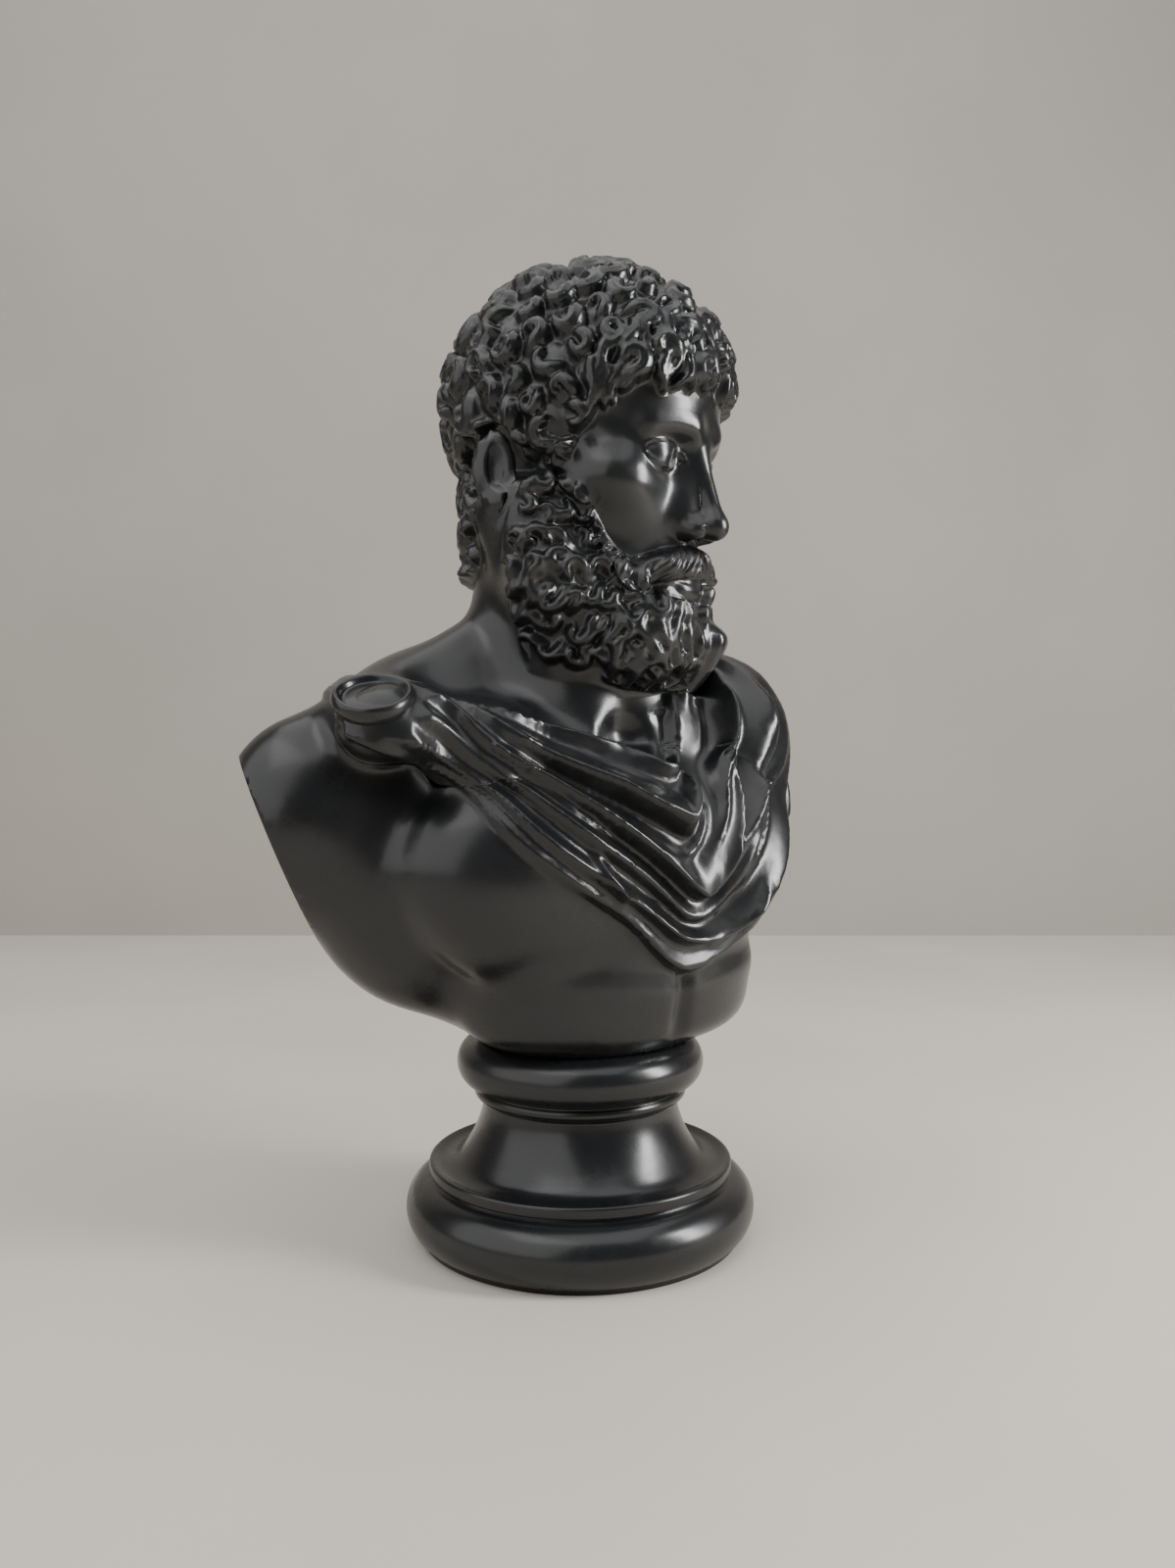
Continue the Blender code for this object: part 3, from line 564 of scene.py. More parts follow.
def model_clay(sizes):
    """The whole figure without its carving."""
    place = head_place(sizes)
    clay, head = Clay(), Clay()
    press_torso(clay)
    press_draped_side(clay)
    press_neck(clay, place)
    press_skull(head)
    press_face(head)
    press_ears(head)
    press_beard(head)
    clay.add(head, place, HEAD_PARTS / 100.0)
    return clay


# Cloak

# Lines of the cloak, from the neckline to the hem: where each leaves the brooch, its lowest point on
# the chest, between which turns it climbs to the left shoulder, its height there and on the back,
# how far its middle is lifted, its rounding, and how far it stands out. Angles are in degrees round
# the middle of the chest, 0 straight ahead and 90 to the left, and above the horizontal.
CLOAK_LINES = (
    ("neckline", (-66.0, 29.0), (14.0, 19.0), (19.0, 41.0), 60.0, 58.0, 9.0, 2.0, 5.0),
    ("fold_1", (-67.0, 27.5), (12.0, -4.0), (12.0, 34.0), 54.0, 44.0, 0.0, 2.0, 13.0),
    ("fold_2", (-67.5, 25.0), (16.0, -27.5), (19.0, 64.0), 50.0, 28.0, 0.0, 2.5, 14.0),
    ("fold_3", (-68.0, 21.5), (12.0, -35.0), (16.0, 84.0), 44.0, 12.0, -2.0, 3.0, 8.0),
    ("fold_4", (-69.0, 18.0), (8.0, -41.0), (20.0, 108.0), 38.0, -4.0, -5.5, 5.0, 11.0),
    ("hem", (-70.0, 15.5), (9.0, -49.0), (14.0, 130.0), 12.0, -36.0, -6.0, 6.0, 3.5),
)
BROOCH_TURN = -75.0
# Short folds between them: the turn and rise of their points, how high they stand, how wide they are.
SHORT_FOLDS = (
    (((39, 50), (52, 38), (48, 25), (34, 12), (31, 4)), 6.5, 5.5),
    (((66, 41), (57, 33), (50, 21), (36, 10), (29, -3), (22, -14)), 6.0, 5.0),
    (((78, 36), (66, 28), (60, 14), (46, 0), (33, -14), (26, -25)), 6.5, 5.5),
    (((86, 26), (72, 16), (61, 7), (52, -4), (43, -15), (34, -26)), 6.0, 5.0),
    (((98, 20), (84, 6), (70, -6), (56, -18), (40, -32)), 6.0, 6.0),
    (((46, -20), (38, -33), (27, -43)), 4.5, 4.5),
    (((24, 3), (17, -10), (8, -16), (-4, -13)), 4.5, 4.0),
    (((-29, -11), (-22, -22), (-15, -32)), 5.0, 4.5),
    (((-60, 17), (-47, 10), (-35, 1), (-22, -8)), 4.5, 4.0),
    (((110, 34), (96, 22), (92, 4), (84, -14), (62, -30)), 6.0, 6.5),
    (((-40, 24), (-24, 15), (-10, 11), (4, 10)), 3.5, 4.0),
)


def cloak_heights(line, turns):
    """How high a line of the cloak runs, in degrees, at each turn round the chest."""
    _, start, low, climb, shoulder, back, lift, rounding, _ = line
    end = BROOCH_TURN + 360.0
    share = np.clip((turns - start[0]) / (low[0] - start[0]), 0.0, 1.0)
    heights = start[1] + (low[1] - start[1]) * share + lift * np.sin(math.pi * share)
    heights += (shoulder - low[1]) * smooth_step(turns, *climb)
    heights += (back - shoulder) * smooth_step(turns, max(95.0, climb[1]), 170.0)
    gathered = 22.0 + 0.3 * (start[1] - 10.0)
    pinned = gathered + (start[1] - gathered) * smooth_step(turns, end - 14.0, end)
    heights += (pinned - back) * smooth_step(turns, 200.0, 250.0)
    reach = np.arange(-3.0 * rounding, 3.0 * rounding + 0.5, 1.0)
    weights = np.exp(-0.5 * (reach / rounding) ** 2)
    padded = np.pad(heights, len(reach) // 2, mode="edge")
    return np.convolve(padded, weights / weights.sum(), mode="valid")[: len(turns)]


def cloak_relief(points):
    """How far the cloak stands out from the body at each point, and how deep in a fold it is."""
    offset = points - np.array(CLOAK_CENTRE)
    turn = np.degrees(np.arctan2(offset[:, 0], -offset[:, 1]))
    turn = np.where(turn < BROOCH_TURN, turn + 360.0, turn)
    rise = np.degrees(np.arctan2(offset[:, 2], np.hypot(offset[:, 0], offset[:, 1])))
    grid = np.arange(BROOCH_TURN, BROOCH_TURN + 361.0, 1.0)
    heights = [cloak_heights(line, grid) for line in CLOAK_LINES]
    apart = np.where(grid < 110.0, 1.2, 0.0)
    for upper, lower in zip(heights, heights[1:]):
        np.minimum(lower, upper - apart, out=lower)
    lines = [np.interp(turn, grid, height) for height in heights]
    depth = np.radians(1.0) * np.linalg.norm(offset, axis=1)
    slopes = [np.gradient(height, grid) for height in heights]
    level = [depth * np.interp(turn, grid, 1.0 / np.hypot(1.0, slope)) for slope in slopes]
    behind = smooth_step(turn, 105.0, 150.0)
    relief, hollow = np.zeros(len(points)), np.zeros(len(points))
    room = [(above - below) * near for above, below, near in zip(lines, lines[1:], level)]
    room = [room[0], *(np.minimum(a, b) for a, b in zip(room, room[1:])), room[-1]]
    calm = 1.0 - 0.5 * behind
    crests = [line[8] * np.clip(gap / 16.0, 0.0, 1.0) * calm for line, gap in zip(CLOAK_LINES, room)]
    for high, low, above, below in zip(crests, crests[1:], lines, lines[1:]):
        t = (above - rise) / np.maximum(above - below, 0.4)
        fall = high * (1.0 - smooth_step(t, 0.02, 0.34))
        climb = low * smooth_step(t, 0.28, 1.0) ** 1.7
        between = (t >= 0.0) & (t <= 1.0)
        relief = np.where(between, CLOTH + np.maximum(fall, climb), relief)
        hollow = np.where(between, np.clip(1.0 - np.abs(t - 0.3) / 0.2, 0.0, 1.0), hollow)
    above, under = (rise - lines[0]) * level[0], (lines[-1] - rise) * level[-1]
    for past, crest, fade in ((above, crests[0], 4.5), (under, crests[-1], 4.0)):
        relief = np.where(past > 0.0, (CLOTH + crest) * (1.0 - smooth_step(past, 0.0, fade)), relief)
    inside = smooth_step(-above, -2.0, 7.0) * smooth_step(-under, -2.0, 5.0)
    for crest, line, near in zip(crests, lines, level):
        relief += 0.13 * crest * np.exp(-((((rise - line) * near + 0.6) / 2.3) ** 2))
    scale = np.stack([depth * np.cos(np.radians(rise)), depth], axis=1)
    flat = np.stack([turn * depth * np.cos(np.radians(rise)), rise * depth], axis=1)
    for path, height, width in SHORT_FOLDS:
        ridge = np.zeros(len(points))
        bends = np.array(curve_through(path, 4))
        ends = np.linspace(0.0, 1.0, len(bends))
        for first, last, at in zip(bends, bends[1:], ends):
            a, b = first * scale, last * scale
            along = np.clip(((flat - a) * (b - a)).sum(axis=1) / ((b - a) ** 2).sum(axis=1), 0.0, 1.0)
            away = np.linalg.norm(flat - a - along[:, None] * (b - a), axis=1)
            share = at + along * ends[1]
            tall = np.sin(math.pi * np.clip(share, 0.0, 1.0)) ** 0.8
            ridge = np.maximum(ridge, tall * height / (1.0 + (away / (0.5 * width)) ** 2) ** 1.5)
        relief += ridge * inside
    away = np.linalg.norm(points - np.array(BROOCH_CENTRE), axis=1) - BROOCH_RADIUS
    return np.minimum(relief, 2.0 + np.maximum(away, 0.0) * 0.8), hollow


# Hair and beard

# How low the hair comes, in the head's hundredths, at each turn from the face (0) to the nape (180)
HAIRLINE = ((0, 20), (20, 19), (36, 17), (48, 12), (58, 3), (66, -8), (74, -13), (84, -5), (96, -5),
            (106, -18), (120, -34), (150, -40), (180, -40))
# How high the beard comes at each turn from the face
BEARDLINE = ((0, -22.5), (12, -23), (22, -27), (34, -26), (46, -18), (58, -8), (66, 0), (74, -6),
             (86, -18), (100, -60))


def head_turn_of(local):
    """Turn round the head from the face, in degrees, above zero on its left."""
    return np.degrees(np.arctan2(local[:, 0], -local[:, 1] + 2.0))


def hair_share(local):
    """1 where hair grows on the scalp, 0 on bare skin."""
    line = np.interp(np.abs(head_turn_of(local)), *np.array(HAIRLINE, float).T)
    share = smooth_step(local[:, 2] - line, 0.0, 1.2)
    ear = np.hypot((local[:, 1] - 8.2) / 6.9, (local[:, 2] + 8.8) / 11.4)
    return share * np.where(np.abs(local[:, 0]) > 20.0, smooth_step(ear, 1.0, 1.2), 1.0)


def beard_share(local):
    """1 where the beard grows, 0 on bare skin and on the lips."""
    line = np.interp(np.abs(head_turn_of(local)), *np.array(BEARDLINE, float).T)
    jaw = smooth_step(local[:, 1] - 0.30 * (local[:, 2] + 20.0), 6.0, 3.0)
    lips = np.hypot(local[:, 0] / 8.0, (local[:, 2] + 32.0) / 3.4)
    bare = np.where(local[:, 1] < -25.0, smooth_step(lips, 1.0, 1.25), 1.0)
    return smooth_step(line - local[:, 2], 0.0, 1.2) * smooth_step(local[:, 2], -61.5, -58.5) * jaw * bare


def comma(u, v, ring, width, sweep, hand):
    """Height of a lock that runs straight for a while and curls into a ring, tapering to its tip."""
    v = hand * v
    radius, angle = np.hypot(u, v), np.mod(np.arctan2(v, u), 2 * math.pi)
    along = angle / sweep
    wide = width * (1.0 - 0.60 * np.clip(along, 0.0, 1.0) ** 1.4)
    middle = ring * (1.0 - 0.38 * np.clip(along, 0.0, 1.0))
    side = (radius - middle) / wide
    curl = np.where(along < 1.0, np.sqrt(np.clip(1.0 - side**2, 0.0, 1.0)), 0.0)
    curl *= smooth_step(1.0 - along, 0.0, 0.10) * (1.0 - 0.25 * along)
    tail = (u - ring) / width
    root = np.where(v < 0.0, np.sqrt(np.clip(1.0 - tail**2, 0.0, 1.0)), 0.0)
    root *= smooth_step(v, -2.6 * ring, -0.4 * ring)
    root = np.where((v < 0.0) & (angle > math.pi), root, 0.0)
    strand = np.where(root > curl, tail, side)
    groove = 0.5 - 0.5 * np.cos(3.2 * math.pi * strand)
    return np.maximum(curl, root) * (1.0 - 0.24 * groove)


def lock(along, across, wave, hook, strands):
    """Height of a hanging lock, 0 to 1 long and 2 wide: a wavy rope of strands with a hooked tip."""
    centre = wave * np.sin(2 * math.pi * along) + hook * np.clip(along - 0.55, 0.0, 1.0) ** 2 * 6.0
    width = np.sqrt(np.clip(1.0 - np.clip((along - 0.35) / 0.65, 0.0, 1.0) ** 2, 0.0, 1.0)) + 1e-6
    side = (across - centre) / width
    body = np.sqrt(np.clip(1.0 - side**2, 0.0, 1.0)) * width**0.5
    groove = 0.5 + 0.5 * np.cos(math.pi * strands * side)
    start = smooth_step(along, -0.02, 0.12)
    inside = (along > -0.02) & (along < 1.0) & (np.abs(side) < 1.0)
    return np.where(inside, start * body * (0.72 + 0.28 * groove), 0.0)


def sphere_spots(count):
    """Evenly spread directions on a sphere."""
    index = np.arange(count) + 0.5
    height = 1.0 - 2.0 * index / count
    angle = index * math.pi * (3.0 - math.sqrt(5.0))
    ring = np.sqrt(1.0 - height**2)
    return np.stack([ring * np.cos(angle), ring * np.sin(angle), height], axis=1)


def tangents(out, lean):
    """Two directions along the surface: downhill turned by an angle, and across it."""
    down = np.array((0.0, 0.0, -1.0))
    flow = unit(down - (down @ out) * out + 1e-6)
    side = np.cross(out, flow)
    return flow * math.cos(lean) + side * math.sin(lean), side * math.cos(lean) - flow * math.sin(lean)


def lay_commas(points, normals, anchors, relief, chance, ring, width, lift, height, lean, dome=0.0):
    """Adds curling locks to the relief, each on a dome round the point that its anchor is the index of."""
    for index in anchors:
        spot, out = points[index], unit(normals[index])
        flow, side = tangents(out, chance.normal(0.0, lean))
        scale = chance.uniform(0.8, 1.25)
        hand = chance.choice((-1.0, 1.0))
        sweep, rise = chance.uniform(2.9, 4.9), lift + chance.uniform(-1.0, 1.0)
        offset = points - spot
        reach = 3.6 * ring * scale
        near = np.nonzero((np.abs(offset) < reach).all(axis=1))[0]
        local = offset[near]
        bump = comma(local @ side, local @ flow, ring * scale, width * scale, sweep, hand)
        away = np.linalg.norm(local, axis=1) / (1.9 * ring * scale)
        swell = dome * np.sqrt(np.clip(1.0 - away**2, 0.0, 1.0))
        low = np.where(swell > 0.0, lift - 1.0 + swell, 0.0)
        made = np.where(bump > 0.0, rise + swell + height * scale * bump, low)
        relief[near] = np.maximum(relief[near], np.where(normals[near] @ out > 0.25, made, 0.0))


def hang_locks(points, normals, anchors, relief, chance, lengths, widths, lift, height, wave, lean=0.0):
    """Adds hanging locks to the relief. Each anchor is the index of the point that the lock hangs from."""
    for index in anchors:
        spot, out = points[index], unit(normals[index])
        flow, side = tangents(out, chance.uniform(-0.18, 0.18) + lean)
        length, width = chance.uniform(*lengths), chance.uniform(*widths)
        bend, hook = chance.uniform(0.5, 1.0) * wave * chance.choice((-1.0, 1.0)), chance.uniform(-1.6, 1.6)
        rise = lift + chance.uniform(-0.8, 0.8)
        offset = points - spot
        near = np.nonzero((np.abs(offset) < length * 1.1).all(axis=1))[0]
        local = offset[near]
        bump = lock(local @ flow / length, local @ side / width, bend, hook, 3.4)
        facing = normals[near] @ out > 0.2
        relief[near] = np.maximum(relief[near], np.where(facing & (bump > 0.0), rise + height * bump, 0.0))


def nearest(local, turns, heights):
    """Index of the head point nearest to each turn (signed, degrees) and height."""
    turn = head_turn_of(local)
    found = []
    for goal, height in zip(turns, heights):
        across = np.abs((turn - goal + 180.0) % 360.0 - 180.0) * 0.55
        found.append(int(np.argmin(np.hypot(across, local[:, 2] - height))))
    return found


def hair_relief(points, normals, local, chance):
    """Tousled curls all over the scalp."""
    middle, radii = np.array((0.0, 3.0, 12.0)), np.array((32.0, 37.0, 37.0))
    toward = (local - middle) / radii
    toward /= np.linalg.norm(toward, axis=1)[:, None]
    relief = np.full(len(points), 2.0)
    for count, behind, ring, width, height in ((150, True, 7.2, 5.6, 4.6), (250, False, 5.6, 4.3, 5.4)):
        anchors = []
        for spot in sphere_spots(count):
            grown = hair_share((middle + spot * radii)[None, :])[0] > 0.5
            if grown and (spot[1] > 0.35 or spot[1] + 0.9 * spot[2] > 0.95) == behind:
                anchors.append(int(np.argmax(toward @ spot)))
        chance.shuffle(anchors)
        lay_commas(points, normals, anchors, relief, chance, ring, width, 2.8, height, 1.2, dome=3.6)
    for height in (-10.0, -17.0, -24.0, -31.0, -37.0):
        turns = np.arange(112.0, 250.0, 12.0) + chance.uniform(-3.0, 3.0, 12)
        anchors = nearest(local, turns, np.full(12, height))
        lay_commas(points, normals, anchors, relief, chance, 4.6, 3.7, 2.0, 5.4, 0.8, dome=1.6)
    return relief * hair_share(local)


def fringe_relief(points, normals, local, chance):
    """Short hooked locks that hang over the forehead and the temples."""
    relief = np.zeros(len(points))
    for row, (rise, lift, count) in enumerate(((15.5, 6.0, 24), (8.8, 4.8, 30))):
        turns = np.linspace(-56.0, 56.0, count) + (row % 2) * 2.5
        heights = np.interp(np.abs(turns), *np.array(HAIRLINE, float).T) + rise
        for turn, anchor in zip(turns, nearest(local, turns, heights)):
            lean = 0.40 * np.sign(turn) + 0.15
            sizes = (19.0, 25.0), (3.0, 4.0)
            hang_locks(points, normals, [anchor], relief, chance, *sizes, lift, 4.6, 0.5, lean)
    return relief


def beard_relief(points, normals, local, chance):
    """Curls along the jaw and wavy locks that hang from the chin."""
    relief = np.full(len(points), 1.0)
    for height in (-4.0, -11.0, -18.0, -25.0, -32.0, -39.0, -46.0, -52.0):
        count = 20 if height > -40.0 else 17
        turns = np.linspace(-80.0, 80.0, count) + chance.uniform(-2.5, 2.5, count)
        if height > -37.0:
            turns = turns[np.abs(turns) > 25.0]
        if height > -21.0:
            turns = turns[np.abs(turns) > 43.0]
        anchors = nearest(local, turns, height + chance.uniform(-1.5, 1.5, len(turns)))
        lay_commas(points, normals, anchors, relief, chance, 4.1, 3.3, 1.4, 5.4, 0.9, dome=1.2)
    for height, count in ((-36.5, 8), (-42.0, 10), (-48.0, 11), (-53.0, 10)):
        turns = np.linspace(-34.0, 34.0, count) + chance.uniform(-1.5, 1.5, count)
        anchors = nearest(local, turns, np.full(count, height))
        hang_locks(points, normals, anchors, relief, chance, (17.0, 23.0), (3.5, 4.8), 1.6, 6.0, 0.9)
    return relief * beard_share(local)


def moustache_relief(local):
    """Strands combed outwards and down from below the nose."""
    x, z = np.abs(local[:, 0]), local[:, 2]
    along = (x - 0.6) / 19.0
    middle = -25.0 - 8.0 * np.clip(along, 0.0, 1.0) ** 1.5
    across = (z - middle) / 4.0
    inside = (along > 0.0) & (along < 1.1) & (np.abs(across) < 1.0) & (local[:, 1] < -22.0)
    strands = np.cos((x * 1.7 + (z + 25.0) * 1.15) * 1.9)
    body = np.sqrt(np.clip(1.0 - across**2, 0.0, 1.0)) * smooth_step(1.1 - along, 0.0, 0.3)
    return np.where(inside, body * (2.3 + 0.9 * strands), 0.0)


def face_relief(local):
    """The lids and the parting of the lips."""
    x, z = np.abs(local[:, 0]), local[:, 2]
    front = local[:, 1] < -20.0
    parting = -1.5 * np.exp(-(((z + 30.6 + 0.004 * x**2) / 0.55) ** 2)) * smooth_step(9.5 - x, 0.0, 3.0)
    arch = np.sqrt(np.clip(1.0 - ((x - 12.2) / 6.8) ** 2, 0.0, 1.0))
    upper = np.exp(-(((z - 0.1 - 3.0 * arch) / 1.0) ** 2))
    lower = 0.6 * np.exp(-(((z - 0.1 + 2.6 * arch) / 0.9) ** 2))
    lids = 1.2 * np.maximum(upper, lower) * smooth_step(7.8 - np.abs(x - 12.2), 0.0, 1.6)
    return np.where(front, lids + np.where(x < 10.0, parting, 0.0), 0.0)


def carve(points, normals, sizes):
    """How far each point of the smooth figure moves out to the cloak, hair and beard, and its hollows."""
    chance = np.random.default_rng(SEED)
    relief, hollow = np.zeros(len(points)), np.zeros(len(points))
    body = points[:, 2] < CLOAK_TOP
    relief[body], hollow[body] = cloak_relief(points[body])
    low = smooth_step(points[:, 2], 2.0, 16.0) * smooth_step(-points[:, 1], 20.0, 40.0) * (relief < 0.5)
    aside = points[:, 0] - STERNUM
    relief -= 3.2 * low * np.exp(-((aside / 5.5) ** 2))
    relief += 2.2 * low * np.exp(-(((points[:, 2] - 34.0 - 0.10 * np.abs(aside)) / 10.0) ** 2))
    local = undo_place(points, head_place(sizes))
    head = np.nonzero((np.abs(local) < HEAD_REACH).all(axis=1) & (points[:, 2] > HEAD_FOOT))[0]
    own, out, near = points[head], normals[head], local[head]
    hair = hair_relief(own, out, near, chance)
    fringe = fringe_relief(own, out, near, chance)
    beard = beard_relief(own, out, near, chance)
    made = np.maximum.reduce([hair, fringe, beard, moustache_relief(near)])
    covered = smooth_step(made, 0.2, 1.5)
    hollow[head] = np.maximum(hollow[head], covered * (1.0 - smooth_step(made, 1.5, 5.0)))
    relief[head] = np.maximum(relief[head], made + (1.0 - covered) * face_relief(near))
    return relief, hollow


# Meshes


def read_points(mesh):
    flat = np.empty(len(mesh.vertices) * 3)
    mesh.vertices.foreach_get("co", flat)
    return flat.reshape(-1, 3)


def write_points(mesh, points):
    mesh.vertices.foreach_set("co", np.asarray(points, np.float32).ravel())
    mesh.update()


def as_mesh(shape, name):
    """The shape as a mesh of its own."""
    mesh = bpy.data.meshes.new(name)
    shape.to_mesh(mesh)
    shape.free()
    return mesh


def modified(mesh, kind, **settings):
    """A copy of the mesh with one modifier applied."""
    body = bpy.data.objects.new("in work", mesh)
    bpy.context.scene.collection.objects.link(body)
    modifier = body.modifiers.new(kind, kind)
    for name, value in settings.items():
        setattr(modifier, name, value)
    made = bpy.data.meshes.new_from_object(body.evaluated_get(bpy.context.evaluated_depsgraph_get()))
    bpy.data.objects.remove(body)
    return made


def fused(rough, grain):
    """The rough balls fused into one closed skin."""
    return modified(as_mesh(rough, "rough clay"), "REMESH", mode="VOXEL", voxel_size=grain)


def refined(mesh, wanted):
    """Halves the faces whose points are all wanted, and returns which points are new."""
    shape = bmesh.new()
    shape.from_mesh(mesh)
    old = len(shape.verts)
    shape.verts.ensure_lookup_table()
    edges = [edge for edge in shape.edges if wanted[edge.verts[0].index] and wanted[edge.verts[1].index]]
    bmesh.ops.subdivide_edges(shape, edges=edges, cuts=1, use_grid_fill=True)
    bmesh.ops.triangulate(shape, faces=[face for face in shape.faces if len(face.verts) > 4])
    shape.to_mesh(mesh)
    shape.free()
    return np.arange(len(mesh.vertices)) >= old


def softened(mesh, points, share, times):
    """The points drawn towards the middle of their neighbours, each by its own share."""
    ends = np.empty(2 * len(mesh.edges), np.int32)
    mesh.edges.foreach_get("vertices", ends)
    here, there = np.concatenate([ends[0::2], ends[1::2]]), np.concatenate([ends[1::2], ends[0::2]])
    count = np.maximum(np.bincount(here, minlength=len(points)), 1)
    for _ in range(times):
        middle = [np.bincount(here, points[there, axis], len(points)) / count for axis in range(3)]
        points = points + share[:, None] * (np.stack(middle, axis=1) - points)
    return points


def keep_largest(shape):
    """Removes every loose piece except the one with the most points."""
    unseen, pieces = set(shape.verts), []
    while unseen:
        piece, edge = [], [unseen.pop()]
        while edge:
            point = edge.pop()
            piece.append(point)
            for link in point.link_edges:
                other = link.other_vert(point)
                if other in unseen:
                    unseen.discard(other)
                    edge.append(other)
        pieces.append(piece)
    pieces.sort(key=len)
    loose = [point for piece in pieces[:-1] for point in piece]
    bmesh.ops.delete(shape, geom=loose, context="VERTS")


def cut_plane(shape, point, facing):
    """Saws off what lies beyond a plane and closes the cut."""
    geometry = [*shape.verts, *shape.edges, *shape.faces]
    cut = bmesh.ops.bisect_plane(
        shape, geom=geometry, dist=1e-4, plane_co=point, plane_no=facing, clear_outer=True
    )
    rim = [edge for edge in cut["geom_cut"] if isinstance(edge, bmesh.types.BMEdge)]
    bmesh.ops.holes_fill(shape, edges=rim)


def finish_piece(name, mesh, paint, nodes):
    """Makes the mesh a piece of the bust that stands in for the named nodes."""
    piece = bpy.data.objects.new(name, mesh)
    bpy.context.scene.collection.objects.link(piece)
    mesh.materials.clear()
    mesh.materials.append(paint)
    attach(piece, "root")
    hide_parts(*nodes)


def spin_profile(profile, steps, axis_place=None):
    """A turned solid from a profile of radii and heights that starts and ends on its axis."""
    shape = bmesh.new()
    points = [shape.verts.new((radius, 0.0, height)) for radius, height in profile]
    edges = [shape.edges.new(pair) for pair in zip(points, points[1:])]
    bmesh.ops.spin(
        shape,
        geom=[*points, *edges],
        cent=(0.0, 0.0, 0.0),
        axis=(0.0, 0.0, 1.0),
        angle=2 * math.pi,
        steps=steps,
        use_merge=True,
    )
    bmesh.ops.remove_doubles(shape, verts=shape.verts, dist=1e-6)
    bmesh.ops.recalc_face_normals(shape, faces=shape.faces)
    for face in shape.faces:
        face.smooth = True
    if axis_place is not None:
        bmesh.ops.transform(shape, matrix=axis_place, verts=shape.verts)
    return shape


def arc(centre, radii, start, end, steps):
    """Points of an elliptical arc in the profile plane, angles in degrees."""
    angles = np.radians(np.linspace(start, end, steps))
    return [(centre[0] + radii[0] * math.cos(a), centre[1] + radii[1] * math.sin(a)) for a in angles]


def curve_through(points, steps):
    """A smooth curve through the points, with a number of steps between each two."""
    knots = [np.array(p) for p in (points[0], *points, points[-1])]
    found = []
    for a, b, c, d in zip(knots, knots[1:], knots[2:], knots[3:]):
        for t in np.linspace(0.0, 1.0, steps, endpoint=False):
            bend = (2 * a - 5 * b + 4 * c - d) * t**2 + (3 * b - a - 3 * c + d) * t**3
            found.append(tuple(0.5 * (2 * b + (c - a) * t + bend)))
    return [*found, points[-1]]


def socle_profile(radius, height):
    """Half section of the socle from the centre of its seat, down its outer side, to the floor.

    It is drawn for a radius of 0.100 and a height of 0.1122.
    """
    r, h = radius / 0.100, height / 0.1122
    flare = [
        (0.0558, 0.0766),
        (0.05674, 0.0705),
        (0.05892, 0.0634),
        (0.06204, 0.0564),
        (0.06641, 0.0493),
        (0.0720, 0.0428),
        (0.0795, 0.0408),
        (0.0852, 0.0430),
    ]
    profile = [
        (0.0, 0.1122),
        (0.0565, 0.1122),
        *arc((0.0585, 0.0987), (0.0125, 0.0135), 90.0, -62.0, 22),
        *arc((0.0575, 0.0817), (0.0035, 0.0035), 62.0, -70.0, 10),
        *curve_through(flare, 4),
        *arc((0.0852, 0.0412), (0.0018, 0.0018), 60.0, 0.0, 4),
        *arc((0.0852, 0.0376), (0.0018, 0.0018), 0.0, -60.0, 4),
        (0.0846, 0.0358),
        (0.0844, 0.0351),
        *arc((0.084, 0.01725), (0.016, 0.01725), 78.0, -60.0, 26),
        (0.0915, 0.0),
        (0.0, 0.0),
    ]
    return [(r * out, h * up) for out, up in profile]


# Operators


